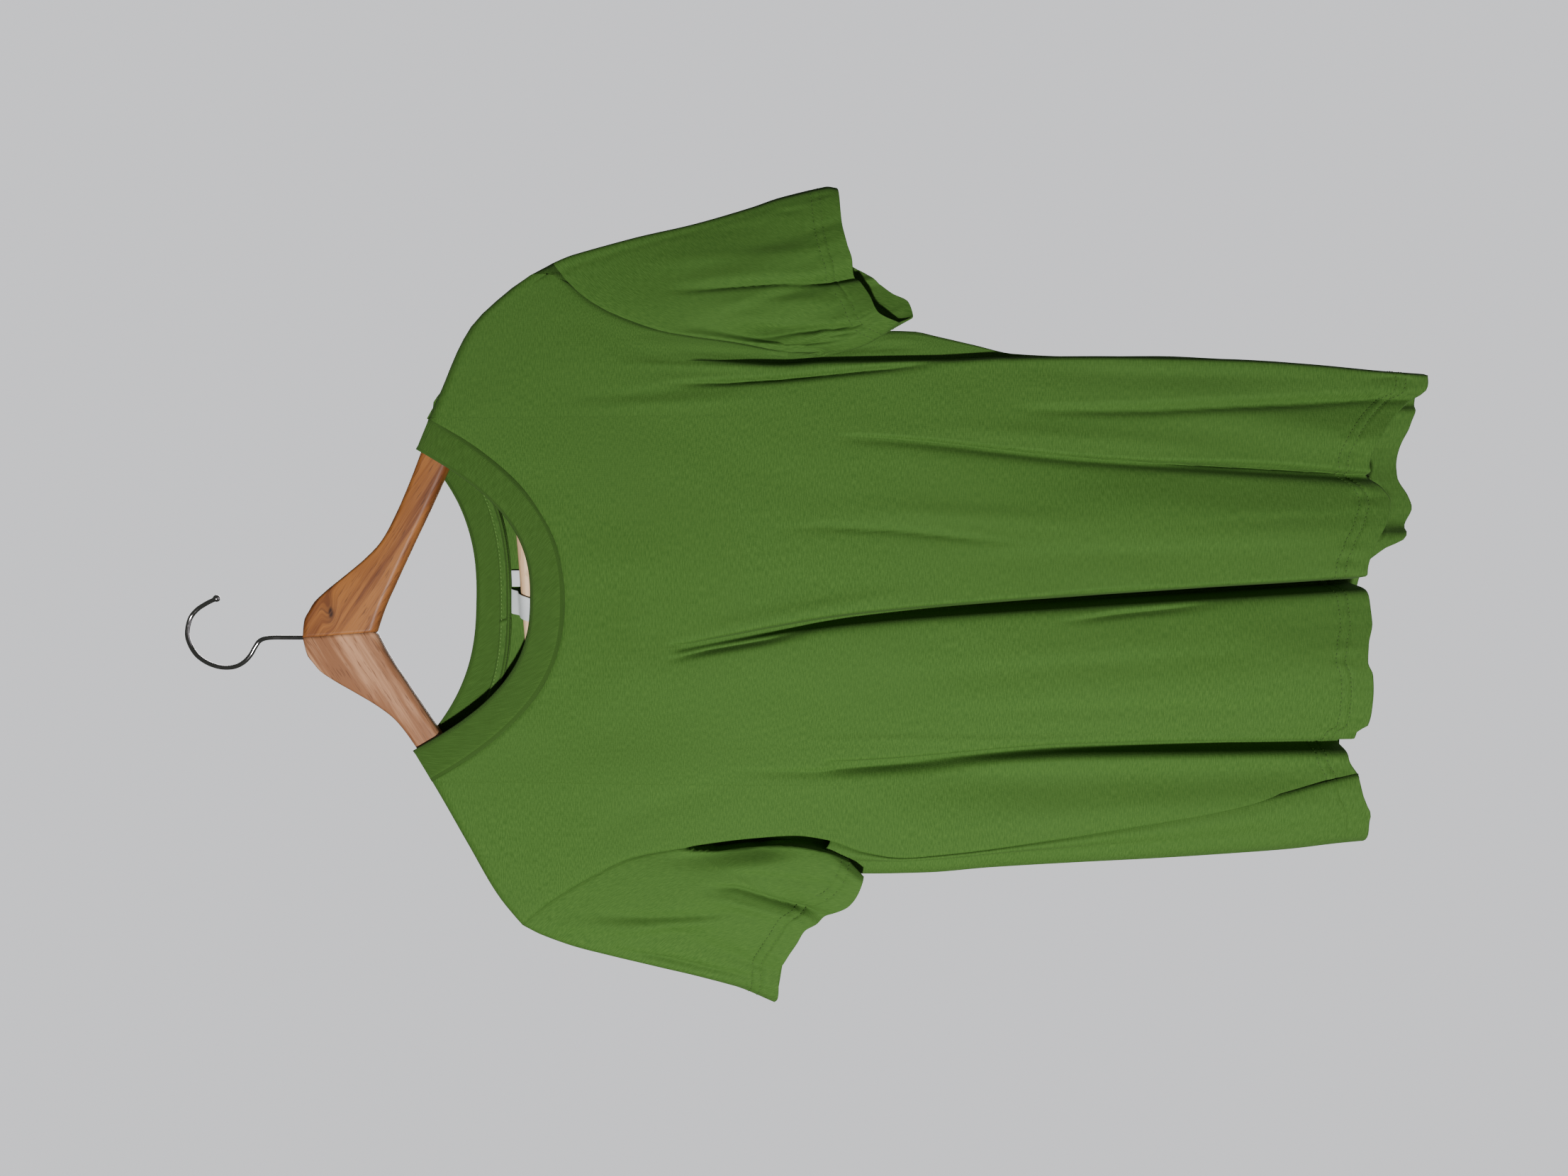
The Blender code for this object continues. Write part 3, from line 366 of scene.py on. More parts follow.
def arm_grid(side):
    """Sections of an arm: a rectangle with quarter-round corners, as high as the arm there."""
    out = np.sin(np.linspace(0, math.pi / 2, ARM_SECTIONS)) * ARM[-1][0]
    high, low = -smooth(out, ARM, 1), -smooth(out, ARM, 2)
    corner = np.minimum(np.minimum(WOOD_ROUND, WOOD_THICK / 2 - 0.1), (high - low) / 2 - 0.1)
    quarter = np.linspace(0, math.pi / 2, CORNER_STEPS)
    turn = np.concatenate([quarter + k * math.pi / 2 for k in range(4)])
    y_side = np.repeat([1, -1, -1, 1], CORNER_STEPS)
    z_side = np.repeat([1, 1, -1, -1], CORNER_STEPS)
    corner = corner[:, None]
    y = y_side * (WOOD_THICK / 2 - corner) + corner * np.cos(turn)
    middle = np.where(z_side > 0, high[:, None] - corner, low[:, None] + corner)
    x, z = upright(side * np.maximum(out, MITRE_GAP)[:, None], middle + corner * np.sin(turn))
    points = np.stack(np.broadcast_arrays(x, y, z), axis=-1)
    return points if side > 0 else points[:, ::-1]


def wood_finish(name, pale, brown, dark, side, knot, gloss):
    """Varnished beech: long streaks of grain down the arm, short dark flecks in them and, on one
    arm, a knot that the grain parts round. All of it runs down the slope of the arm."""
    material, shade, link = start_finish(
        name, {"Coat Weight": 0.12, "Coat Roughness": 0.42, "Specular IOR Level": 0.36}
    )
    place = shade.own_place()
    turned = place.mapped(Rotation=(0, side * GRAIN_SLOPE, 0))
    squeezed = place.vectors("SUBTRACT", KNOT_AT).vectors("MULTIPLY", KNOT_SHAPE)
    far = shade.node("ShaderNodeVectorMath", {"operation": "LENGTH"}, {0: squeezed}, 1)
    near = (1 - far.between(0.002, 0.016)) * knot
    bent = turned.vectors("ADD", shade.node("ShaderNodeCombineXYZ", {}, {"Z": near * 0.006}))
    grain = bent.mapped(Scale=(5, 60, 110)).noise(Detail=6.0, Roughness=0.62, Distortion=0.6)
    fleck = bent.mapped(Scale=(70, 500, 900)).noise(Detail=3.0)
    broad = place.noise(22.0, Detail=2.0)
    colour = grain.between(0.38, 0.62).mixed((*pale, 1), (*brown, 1))
    colour = (fleck.between(0.56, 0.70) * 0.65).mixed(colour, (*dark, 1))
    colour = (broad.between(0.45, 0.7) * 0.35).mixed(colour, (*brown, 1))
    spot = (1 - far.between(0.0012, 0.0052)) * knot * grain.between(0.25, 0.55)
    core = (dark[0] * 0.5, dark[1] * 0.4, dark[2] * 0.4, 1)
    colour = (spot * 0.9 + near * 0.25).mixed(colour, core)
    bump = (grain * 0.5 + fleck).bump(0.35, 0.0003)
    link({"Base Color": colour, "Roughness": gloss + 0.25 * fleck, "Normal": bump})
    return material


for side_name, side, finish in (
    ("left", -1, wood_finish("left arm wood", (0.45, 0.235, 0.13), (0.22, 0.095, 0.046),
                             (0.08, 0.028, 0.012), 1, 0.0, 0.18)),
    ("right", 1, wood_finish("right arm wood", (0.27, 0.098, 0.022), (0.125, 0.036, 0.008),
                             (0.05, 0.014, 0.004), -1, 1.0, 0.40)),
):
    arm = grid_mesh(f"{side_name}_arm", arm_grid(side), finish, closed=True, capped=True)
    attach(arm, "root")
    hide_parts(f"hanger_arm_{side_name}")

# ------------------------------------------------------------------ the hanger's bar
# A plain turned rod of pale beech, 11 mm thick and unvarnished, let into the lower edge of both
# arms. Only its middle shows, through the neck of the shirt.
BAR_RADIUS = 5.5
BAR_BELOW = 154.5  # from the top of the block to the bar's axis
BAR_HALF = 184.0
BAR_SIDES = 48


def bar_grid():
    """A cylinder on the hanger's own X axis, with rings crowded at its ends to round them off."""
    away = np.linspace(-1, 1, 60)
    run = BAR_HALF * np.sin(away * math.pi / 2)
    radius = BAR_RADIUS * np.minimum(1, 0.86 + (BAR_HALF - np.abs(run)) / BAR_RADIUS)[:, None]
    turn = np.arange(BAR_SIDES) / BAR_SIDES * 2 * math.pi
    x, z = upright(run[:, None], -BAR_BELOW + radius * np.sin(turn))
    return np.stack(np.broadcast_arrays(x, radius * np.cos(turn), z), axis=-1)


def bar_finish():
    """Bare beech: pale, with fine straight grain and the short ray flecks of the wood."""
    material, shade, link = start_finish("bar wood", {"Specular IOR Level": 0.35})
    place = shade.own_place()
    grain = place.mapped(Scale=(9, 300, 300)).noise(Detail=6.0)
    fleck = place.mapped(Scale=(160, 900, 900)).noise()
    colour = grain.between(0.35, 0.7).mixed((0.72, 0.50, 0.31, 1), (0.55, 0.34, 0.19, 1))
    colour = (fleck.between(0.58, 0.7) * 0.5).mixed(colour, (0.40, 0.22, 0.11, 1))
    bump = (grain + fleck * 0.5).bump(0.4, 0.0002)
    link({"Base Color": colour, "Roughness": 0.42 + 0.2 * fleck, "Normal": bump})
    return material


bar = grid_mesh("cross_bar", bar_grid(), bar_finish(), closed=True, capped=True)
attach(bar, "root")
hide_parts("hanger_bar")

# ------------------------------------------------------------------ the front
# Cotton jersey, cut in one piece with a deep round neck, and hung so that it drops in a few long
# folds from the chest. Its hem is turned up 21 mm and sewn; at the left underarm the side seam
# has slipped round to the front, and on the right the side stands out from under a lobe.
JERSEY = 1.2  # wall of the body and sleeves
WALE, COURSE = 0.00100, 0.00085  # metres from one column and one row of its loops to the next
COTTON = {
    "Specular IOR Level": 0.24, "Sheen Weight": 0.03, "Sheen Roughness": 0.5,
    "Sheen Tint": (0.62, 0.85, 0.45, 1),
}
SEAM = 0.3  # from the middle of one wall to the next across a seam
ALLOWANCE = 3.5  # how far the seam's inner layer reaches back under the outer one
RIDGE_RADIUS = 7.6  # the cloth's bend over the top of the hanger's arms
HEM_DROP = 790.0  # the drop at which the folds have their full size
HEM_DEPTH = 21.0  # how far the hem is turned up
HEM_ROWS = (14.0, 20.4)  # the two rows of stitches, above the hem's edge

# Where the cloth turns over the arms of the hanger, from the left shoulder to the neck.
RIDGE_LEFT = ((-196.5, 226.0), (-177, 210), (-143, 190), (-108, 170), (-79, 152.5), (22, 91))
RIDGE_RIGHT = (
    (22, 113), (125, 155), (162, 170.5), (206, 191), (226, 211), (240, 230), (249, 247),
)
# The front's left edge: the armhole seam down to the underarm, then the side seam. Columns:
# drop, x.
FRONT_LEFT = (
    (226.0, -196.5), (241, -183), (276, -161), (301, -149), (326, -143.5), (350, -139),
    (380, -135), (410, -133), (430, -135.5), (456, -144), (480, -147.5), (510, -145),
    (580, -135), (633, -126), (695, -114), (729, -106), (768, -95), (800, -88),
)
# The side on the right, from just below the underarm: the edge of front and back alike.
SIDE_RIGHT = (
    (445, 196), (460, 200.5), (475, 202.5), (490, 202), (504, 199), (530, 193), (557, 187),
    (600, 185.3), (650, 185.6), (700, 183.5), (750, 180.5), (800, 174.6), (840, 172.5),
)
# The right edge: the armhole seam, then the side, which stands out as a flap under the arm.
FRONT_RIGHT = (
    (247.0, 249), (257, 236), (276, 220), (301, 208), (326, 200), (375, 193.5), (410, 188.5),
    (428, 188.4), (431.5, 190.6), *SIDE_RIGHT,
)
UNDERARM_LEFT = 430.0
UNDERARM_RIGHT = 428.0
# The front's hem. Columns: x, drop.
FRONT_HEM = (
    (-150, 790), (-92, 776), (-80, 770), (-69, 771), (-62, 772), (-58, 778.5), (-50, 779.6),
    (-25, 778), (-17, 774.8), (-6, 775.8), (9, 779.6), (28, 779), (42, 777.3), (59, 782.5),
    (73, 790), (87, 794), (95, 790), (102, 785), (111, 782.7), (121, 785.5), (135, 794),
    (145, 802.6), (152.5, 811.5), (158, 819), (163, 820.7), (175, 820),
)
# The neck, front and back: half width, how far it hangs, and how full the curve is.
NECK_X = 22.5
NECK = {
    "front seam": {"half": 122.5, "hang": 91.2, "full": 2.4},
    "front edge": {"half": 101.5, "hang": 79.4, "full": 2.5},
    "back seam": {"half": 122.5, "hang": 48.8, "full": 2.7},
    "back edge": {"half": 101.5, "hang": 38.8, "full": 2.5},
}
# How far the front hangs away from the hanger. Rows: how far, from one drop to another.
FRONT_BELLY = ((11, 190, 390), (8, 390, 780))
# Soft ridges and folds that run down the cloth. x is given at the drops in FOLD_AT; height is
# reached at "full"; left and right are how far the cloth takes to go in and to come out again.
FOLD_AT = (335, 450, 600, HEM_DROP)
FOLD_COLUMNS = ("name", "x", "start", "full", "height", "left", "right")
FRONT_CRESTS = (
    ("left lobe", (-120, -120, -112, -100), 560, 790, 4, 26, 26),
    ("middle lobe", (-45, -40, -30, -22), 420, 790, 15, 46, 46),
    ("right lobe", (60, 66, 70, 66), 450, 790, 10, 36, 30),
    ("side lobe", (150, 150, 150, 128), 600, 790, 5, 14, 14),
    ("edge lobe", (166, 168, 170, 164), 520, 790, 4, 12, 12),
    ("chest", (22, 22, 22, 22), 250, 400, 5, 120, 120),
)
FRONT_FOLDS = (
    ("left pleat", (-88, -85.5, -74, -70), 430, 700, 22, 5, 2.8),
    ("middle pleat", (-9, 11, 23.2, 35.5), 328, 700, 26, 3.6, 3.0),
    ("right fold", (132, 130, 115.5, 103.5), 440, 720, 8, 4.5, 1.6),
    ("side fold", (148, 147, 148.5, 155), 560, 790, 5.5, 3.5, 1.8),
)
# The front stands proud of the flap under the right arm. Columns: drop, x of its edge.
LOBE_EDGE = (
    (330, 176), (365, 176), (400, 174.8), (430, 176.5), (470, 177), (510, 177.5), (545, 179),
    (600, 179.5), (700, 177), (750, 173.5), (800, 168.5), (840, 165.5),
)
LOBE_ROUND = 5.0  # how far its edge takes to turn in
FLAP_Y = -8.0
# Creases, each along a route of its own. Columns: how far it stands out (or in, below 0), how
# wide it is to each side, the share of it that fades in and out, and the route as x, drop.
FRONT_CREASES = (
    (-1.7, 1.3, 0.4, ((21, 520), (24.5, 570), (28, 600), (30.5, 630), (32, 668))),
    (-2.6, 2.2, 0.4, ((7, 575), (13.5, 620), (16.5, 650), (21, 690))),
    (-3.2, 2.0, 0.4, ((-19, 318), (-11, 352), (-4, 392), (3, 425))),
    (1.4, 5.0, 0.4, ((-2, 330), (7, 375), (18, 430), (29, 500))),
    (0.8, 1.8, 0.3, ((-71, 400), (-69, 470), (-69, 560), (-68, 650))),
    (-2.2, 3.0, 0.4, ((-90, 350), (-91, 420), (-88, 480), (-84, 560))),
    (-5.5, 12.0, 0.3, ((-96, 430), (-94, 540), (-90, 690), (-84, 840))),
    (-5.5, 1.9, 0.3, ((166, 315), (167, 365), (169, 400), (172, 430), (175, 460), (180, 515))),
    (0.9, 2.6, 0.4, ((181, 280), (178, 330), (176, 380), (177, 415))),
    (-4.4, 1.7, 0.4, ((114.5, 635), (112.5, 670), (111, 710), (109, 740), (104.5, 790))),
    (-1.6, 11.0, 0.4, ((117, 520), (106, 610), (96, 700), (90, 790))),
    (1.2, 6.0, 0.4, ((137, 460), (134, 530), (127, 620), (118, 740))),
    (-2.4, 2.0, 0.4, ((69, 385), (71, 430), (69, 475), (65, 510), (58, 570))),
    (1.4, 6.0, 0.5, ((82, 400), (81, 470), (76, 560), (70, 640))),
    (-2.4, 2.2, 0.4, ((146, 560), (146.5, 640), (149, 700), (151, 750), (155, 805))),
    (-2.4, 6.5, 0.4, ((174, 540), (170, 640), (168, 720), (162, 830))),
    (-1.6, 8.0, 0.5, ((-30, 440), (-24, 540), (-16, 640), (-8, 760))),
    (-1.4, 5.0, 0.5, ((-52, 470), (-48, 580), (-46, 700), (-44, 800))),
    (1.3, 9.0, 0.5, ((-130, 480), (-122, 560), (-112, 660), (-100, 760))),
    (-1.3, 7.0, 0.5, ((46, 470), (52, 580), (54, 690), (58, 800))),
    (-0.8, 4.5, 0.5, ((70, 640), (74, 700), (76, 760), (74, 800))),
    (-1.4, 3.0, 0.5, ((190, 300), (188, 340), (186, 385), (184, 425))),
    (-2.2, 1.6, 0.4, ((184, 420), (189, 436), (193, 462), (192, 500))),
    (1.8, 2.4, 0.4, ((188, 432), (196, 455), (196, 490), (190, 535))),
    (-1.0, 9.0, 0.5, ((-150, 250), (-120, 300), (-100, 360), (-96, 420))),
    (-1.0, 6.0, 0.5, ((225, 262), (196, 290), (180, 330), (172, 380))),
    (-1.0, 4.0, 0.5, ((158, 250), (160, 300), (163, 350), (165, 400))),
    (0.8, 4.0, 0.5, ((150, 230), (152, 290), (154, 350), (158, 420))),
    (0.6, 12.0, 0.5, ((-70, 260), (-20, 300), (40, 306), (100, 280))),
    (-0.7, 2.2, 0.5, ((-157, 225), (-148, 229), (-140, 226))),
    (-2.2, 1.4, 0.4, ((246, 250), (241, 252), (235, 253))),
    (-1.4, 2.4, 0.5, ((166, 772), (168, 800), (163, 824))),
    (1.2, 3.0, 0.5, ((174, 770), (174, 800), (172, 835))),
)
# Rows down a panel. Columns: share of its length, rows on to the next share.
PANEL_ROWS = ((0.0, 14), (0.03, 42), (0.27, 36), (0.377, 68), (0.945, 30), (1.0, 1))
# Lines down the front that its columns follow, evenly between one and the next. Columns: name,
# x at FOLD_AT, columns up to the next line.
FRONT_LINES = (
    ("edge", None, 22),
    ("left neck", (-100, -100, -98, -88.5), 2),
    ("left neck, in", (-99.2, -98.8, -95, -87.5), 2),
    ("left neck, further in", (-97.8, -97.3, -92, -86), 4),
    ("left pleat, in", (-95, -93, -83.5, -81), 20),
    ("left pleat, out", (-82, -79, -70, -66), 40),
    ("middle pleat, in", (-24, -6, 4, 16), 40),
    ("middle pleat, out", (-5, 20, 34, 44), 42),
    ("right fold, in", (118, 117, 103, 87), 24),
    ("right neck, further in", (142.5, 139, 123, 105), 2),
    ("right neck, in", (144.2, 141, 125, 107), 2),
    ("right neck", (145, 142.5, 127, 109), 24),
)
LOBE_STEPS = np.sin(np.linspace(0, math.pi / 2, 10))
FLAP_STEPS = np.linspace(0, 1, 9)[1:]


def ease(value, start, full):
    """0 at start and 1 at full, level at both."""
    t = np.clip((value - start) / (full - start), 0, 1)
    return t * t * (3 - 2 * t)


def bell(off, width):
    """1 in the middle and 0 far off: e to the power of minus the square of off over width."""
    return np.exp(-((off / width) ** 2))


def way_along(path):
    """The way run along a path to each of its points."""
    return np.concatenate([[0], np.cumsum(np.linalg.norm(np.diff(path, axis=0), axis=1))])


def named(rows):
    """Rows of a fold table as dictionaries with its column names."""
    return [dict(zip(FOLD_COLUMNS, row)) for row in rows]


def down_cloth(x, drop):
    """Where a line that is given at the drops in FOLD_AT lies at a drop."""
    return smooth(drop, tuple(zip(FOLD_AT, x)))


def crest(fold, x, drop):
    """Height of a soft ridge: a bell across the cloth, growing down it."""
    off = x - down_cloth(fold["x"], drop)
    width = np.where(off < 0, fold["left"], fold["right"])
    return fold["height"] * ease(drop, fold["start"], fold["full"]) * bell(off, width)


def pleat(fold, x, drop):
    """Depth of a fold: a groove whose left side rolls in softly and whose right side is a sharp
    edge, growing fast from where it starts and then slower."""
    off = x - down_cloth(fold["x"], drop)
    side = np.where(off < 0, -off / fold["left"], off / fold["right"])
    grown = np.clip((drop - fold["start"]) / (fold["full"] - fold["start"]), 0, 1)
    return fold["height"] * grown**0.5 / (1 + side ** np.where(off < 0, 3, 9))


def creases(rows, x, drop):
    """Height of all the creases of a table: across its route each is a bell, by the distance to
    the nearest point of the route, and along it the bell fades in and out. A furrow's bell is
    narrower on its right side, as the folds are, or on its left where its width is below 0."""
    total = np.zeros(np.broadcast(x, drop).shape)
    for height, width, fade, route in rows:
        ends = np.array(route, float)
        run = way_along(ends)
        run = run / run[-1]
        nearest, share = np.full(total.shape, np.inf), np.zeros(total.shape)
        right = np.zeros(total.shape, bool)
        for a, b, before, after in zip(ends, ends[1:], run, run[1:]):
            step = b - a
            t = np.clip(((x - a[0]) * step[0] + (drop - a[1]) * step[1]) / (step @ step), 0, 1)
            away = np.hypot(x - a[0] - t * step[0], drop - a[1] - t * step[1])
            share = np.where(away < nearest, before + (after - before) * t, share)
            side = step[0] * (drop - a[1]) < step[1] * (x - a[0])
            right = np.where(away < nearest, side, right)
            nearest = np.minimum(nearest, away)
        faded = ease(share, 0, fade) * (1 - ease(share, 1 - fade, 1))
        sharp = np.where(right == (width > 0), 0.75, 1.3) if height < 0 else 1
        total += height * faded * bell(nearest, width * sharp)
    return total


def slack(x, drop, seed, height=0.28):
    """The cloth's small unevenness: a sum of waves of 14 to 90 mm, most of them running down
    it, with seeded lengths, directions and phases."""
    draw = np.random.default_rng(seed)
    total = np.zeros(np.broadcast(x, drop).shape)
    for _ in range(14):
        length, lean = draw.uniform(14, 90), draw.normal(0, 0.35)
        phase = draw.uniform(0, 2 * math.pi)
        total += height * (length / 60) * np.sin(2 * math.pi * (x + lean * drop) / length + phase)
    return total / 3


def sewn_hem(up, run, seed):
    """Height of a sewn hem: the turned-up cloth stands out a little, the two rows of stitches
    draw it in, and between and above them it puckers in short uneven waves."""
    draw = np.random.default_rng(seed)
    raised = 0.6 * (1 - ease(up, HEM_DEPTH - 0.4, HEM_DEPTH + 1.6))
    drawn = sum(0.8 * bell(up - row, 1.1) for row in HEM_ROWS)
    waves = sum(
        np.sin(2 * math.pi * run / draw.uniform(5.5, 17) + draw.uniform(0, 6)) for _ in range(5)
    )
    return raised - drawn + 0.2 * waves * bell(up - 15, 9)


def ridge(x):
    """Drop of the line where the cloth turns over the hanger."""
    return np.where(x < NECK_X, smooth(x, RIDGE_LEFT), smooth(x, RIDGE_RIGHT))


def over_the_arm(x, drop):
    """0 on the ridge and 1 a bend's radius below it, as a quarter circle."""
    below = np.clip((drop - ridge(x)) / RIDGE_RADIUS, 0, 1)
    return np.sqrt(1 - (1 - below) ** 2)


def hung_depth(belly, crests, folds, x, drop):
    """How far a panel lies from the middle of the hanger, with its crests and folds."""
    depth = RIDGE_RADIUS
    for far, start, end in belly:
        depth = depth + far * ease(drop, start, end)
    for fold in named(crests):
        depth = depth + crest(fold, x, drop)
    for fold in named(folds):
        depth = depth - pleat(fold, x, drop)
    return depth * over_the_arm(x, drop)


def front_y(x, drop):
    """Depth of the middle of the front's wall, with its folds: it hangs away from the hanger
    with the drop, and the lobe's edge turns in behind itself as a quarter circle."""
    y = -hung_depth(FRONT_BELLY, FRONT_CRESTS, FRONT_FOLDS, x, drop)
    turn = np.clip((x - smooth(drop, LOBE_EDGE)) / LOBE_ROUND, 0, 1)
    behind = ease(drop, 335, 400) * (1 - np.sqrt(1 - turn**2))
    return y + (FLAP_Y - y) * behind


def as_points(x, y, drop):
    return np.stack(np.broadcast_arrays(x, y, -np.asarray(drop, float)), axis=-1)


def neck(name, x, inset=0.0):
    """Drop of a neck curve, hung between the two points where it crosses the arms' tops."""
    half = NECK[name]["half"] - inset
    t = np.clip((x - NECK_X) / half, -1, 1)
    left, right = ridge(NECK_X - half), ridge(NECK_X + half)
    hang = (NECK[name]["hang"] - inset) * (1 - np.abs(t) ** NECK[name]["full"])
    return left + (right - left) * (t + 1) / 2 + hang


def panel_top(name):
    """The top of a panel: the neck curve in the middle, and the arms' tops at the sides."""
    half = NECK[name]["half"]

    def top(x):
        return np.where(np.abs(x - NECK_X) < half, neck(name, x), ridge(x))

    return top


def settle(line, level):
    """The drop at which a line down the cloth crosses a level that varies across it."""
    drop = np.full_like(line(300.0), 300.0)
    for _ in range(40):
        drop = 0.5 * drop + 0.5 * level(line(drop))
    return drop


def shares_of(rows):
    """A table of rows as shares, evenly spaced between the ones it names."""
    counts = np.cumsum([0] + [row[1] for row in rows[:-1]])
    return np.interp(np.arange(counts[-1] + 1), counts, [row[0] for row in rows])


def hang_down(line, top, bottom, rows):
    """Drops of a panel's rows, one column of them for each line down it. The first row is half a
    seam past the arm's top, and the rows then go round the arm and straight down."""
    start, end = settle(line, top), settle(line, bottom)
    crown = ridge(line(start))
    quarter = RIDGE_RADIUS * math.pi / 2
    below = np.clip(start - crown, 0, None)
    near = RIDGE_RADIUS * np.arccos(1 - np.clip(below / RIDGE_RADIUS, 0, 1))
    first = np.where(below < RIDGE_RADIUS, near, quarter + below - RIDGE_RADIUS)
    first = np.maximum(first, SEAM / 2)
    last = quarter + end - crown - RIDGE_RADIUS
    path = first + (last - first) * np.asarray(rows)[:, None]
    bend = RIDGE_RADIUS * (1 - np.cos(np.clip(path, 0, quarter) / RIDGE_RADIUS))
    return crown + np.where(path < quarter, bend, RIDGE_RADIUS + path - quarter)


def lines_between(lines, table):
    """Columns evenly between one line and the next, as many as the table says."""
    return [
        line + (following - line) * step / steps
        for line, following, (_, _, steps) in zip(lines, lines[1:], table)
        for step in range(steps)
    ]


def front_lines(drop):
    """x of every column of the front, at one drop for each of them or for all: evenly between
    the table's lines, and then round the lobe's edge and across the flap."""
    lines = [smooth(drop, FRONT_LEFT)]
    lines += [down_cloth(x, drop) for _, x, _ in FRONT_LINES[1:]]
    edge = smooth(drop, FRONT_RIGHT)
    lobe = np.minimum(smooth(drop, LOBE_EDGE), edge - 2 * LOBE_ROUND)
    found = lines_between([*lines, lobe], FRONT_LINES)
    found += [lobe + LOBE_ROUND * share for share in LOBE_STEPS]
    found += [lobe + LOBE_ROUND + (edge - lobe - LOBE_ROUND) * share for share in FLAP_STEPS]
    return np.stack(np.broadcast_arrays(*found), axis=-1)


def own_drop(lines):
    """A function of one drop for each column, from a function of drops for all columns."""

    def line(drop):
        every = lines(np.asarray(drop, float))
        return every if np.ndim(drop) == 0 else np.diagonal(every, axis1=-2, axis2=-1)

    return line


def seam_valley(off, width=2.0):
    """How far cloth is drawn in beside a seam, by the distance from it."""
    return 0.6 * bell(off, width)


def cloth_wall(name, points, thick, material, **grid):
    """A grid of points as cloth: its surface with an even wall to both sides of it."""
    wall = grid_mesh(name, points, material, **grid)
    shell = wall.modifiers.new("wall", "SOLIDIFY")
    shell.thickness = thick * MM
    shell.offset = 0
    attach(wall, "root")
    return wall


def cloth_place(shade):
    """The place on the flat cloth, in metres, and its parts across the cloth and down it."""
    flat = shade.node("ShaderNodeUVMap", {"uv_map": "cloth"})
    parts = (shade.node("ShaderNodeSeparateXYZ", {}, {"Vector": flat}, i) for i in (0, 1))
    return flat, *parts


def jersey_finish(name, painted_shade_by=1.0):
    """Green single jersey, by its own flat sizes: columns of loops 1 mm apart leaning into V's,
    uneven slubs of yarn along the courses, a heathered speck here and there, and a soft nap."""
    material, shade, link = start_finish(name, COTTON)
    cloth, across, down = cloth_place(shade)
    slub = cloth.mapped(Scale=(230, 1400, 1)).noise(Detail=3.0)
    speck = cloth.mapped(Scale=(700, 2600, 1)).noise(Detail=2.0)
    worn = shade.own_place().noise(9.0, Detail=3.0)
    # Every colour is multiplied by the factor given; below 1 it makes a darker copy of the jersey
    # as painted shade.
    green = [tuple(c * painted_shade_by for c in colour) + (1,) for colour in (
        (0.027, 0.077, 0.007), (0.049, 0.113, 0.017), (0.038, 0.092, 0.013), (0.068, 0.138, 0.032),
    )]
    colour = slub.between(0.30, 0.72).mixed(green[0], green[1])
    colour = (worn.between(0.35, 0.7) * 0.35).mixed(colour, green[2])
    colour = (speck.between(0.58, 0.74) * 0.5).mixed(colour, green[3])
    lean = shade.maths("PINGPONG", across, WALE / 2) * 1.3
    knit = across.wave(WALE) * 0.4 + (down + lean).wave(COURSE) * 0.3 + slub * 1.2 + speck * 1.2
    bump = knit.bump(0.45, 0.0002)
    link({"Base Color": colour, "Roughness": 0.76 + 0.14 * slub, "Normal": bump})
    return material


def hangs_free(x, drop):
    """0 near the top of the arms, where the cloth is drawn tight, and 1 below them."""
    return ease(drop - ridge(x), 4, 40)


def make_front():
    """The front's points: its lines hung from the neck and the arms, out to the hem."""
    line = own_drop(front_lines)
    top, rows = panel_top("front seam"), shares_of(PANEL_ROWS)
    drop = hang_down(line, top, lambda x: smooth(x, FRONT_HEM), rows)
    x = line(drop)
    hanging = hangs_free(x, drop)
    relief = (creases(FRONT_CREASES, x, drop) + slack(x, drop, 5)) * hanging
    relief += sewn_hem(drop[-1] - drop, x, 21)
    relief -= seam_valley(x - x[:, :1], 1.4) * (1 - 0.8 * ease(drop, 310, 345))
    relief -= 0.5 * seam_valley(x[:, -1:] - x, 1.2) * (drop < UNDERARM_RIGHT)
    beside_flap = ease(drop, UNDERARM_RIGHT - 20, UNDERARM_RIGHT + 10)
    relief *= 1 - (1 - ease(x[:, -1:] - x, 0, 5)) * beside_flap
    relief -= seam_valley(drop - neck("front seam", x)) * hanging
    return as_points(x, front_y(x, drop) - relief, drop)


jersey = jersey_finish("jersey")
front_points = make_front()
on_shoulder = np.abs(front_points[0, :, :1] - NECK_X) > NECK["front seam"]["half"]
turned_in = front_points[0] + np.where(on_shoulder, (0, 3.0, -2.0), (0, 1.2, 0.4))
front_cloth = np.concatenate([turned_in[None], front_points])
front = cloth_wall("shirt_front", front_cloth, JERSEY, jersey, down=-front_cloth[..., 2])
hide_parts("front_panel")

# ------------------------------------------------------------------ the back
# The same jersey in one piece, cut higher at the neck. At the left it comes round the side and
# meets the front's edge at the side seam; below the front's hem the inside of it shows.
SIDE_SEAM = 0.4  # from the front's edge to the back's, along the side seam
UNDERARM_GAP = 3.0  # how far below the front's underarm the back starts
# The left outline of the body. Columns: drop, x, width of the side.
SIDE_LEFT = (
    (226.0, -207.5, 11), (245, -191, 11), (280, -171, 11), (320, -161, 11), (370, -158, 11),
    (410, -159.5, 11), (430, -160.8, 11), (460, -161.3, 11), (498, -160.5, 11.5),
    (540, -157, 12), (600, -153.3, 13), (650, -150.5, 14), (700, -147, 15), (740, -143.7, 15),
    (770, -140, 15), (800, -137.2, 15),
)
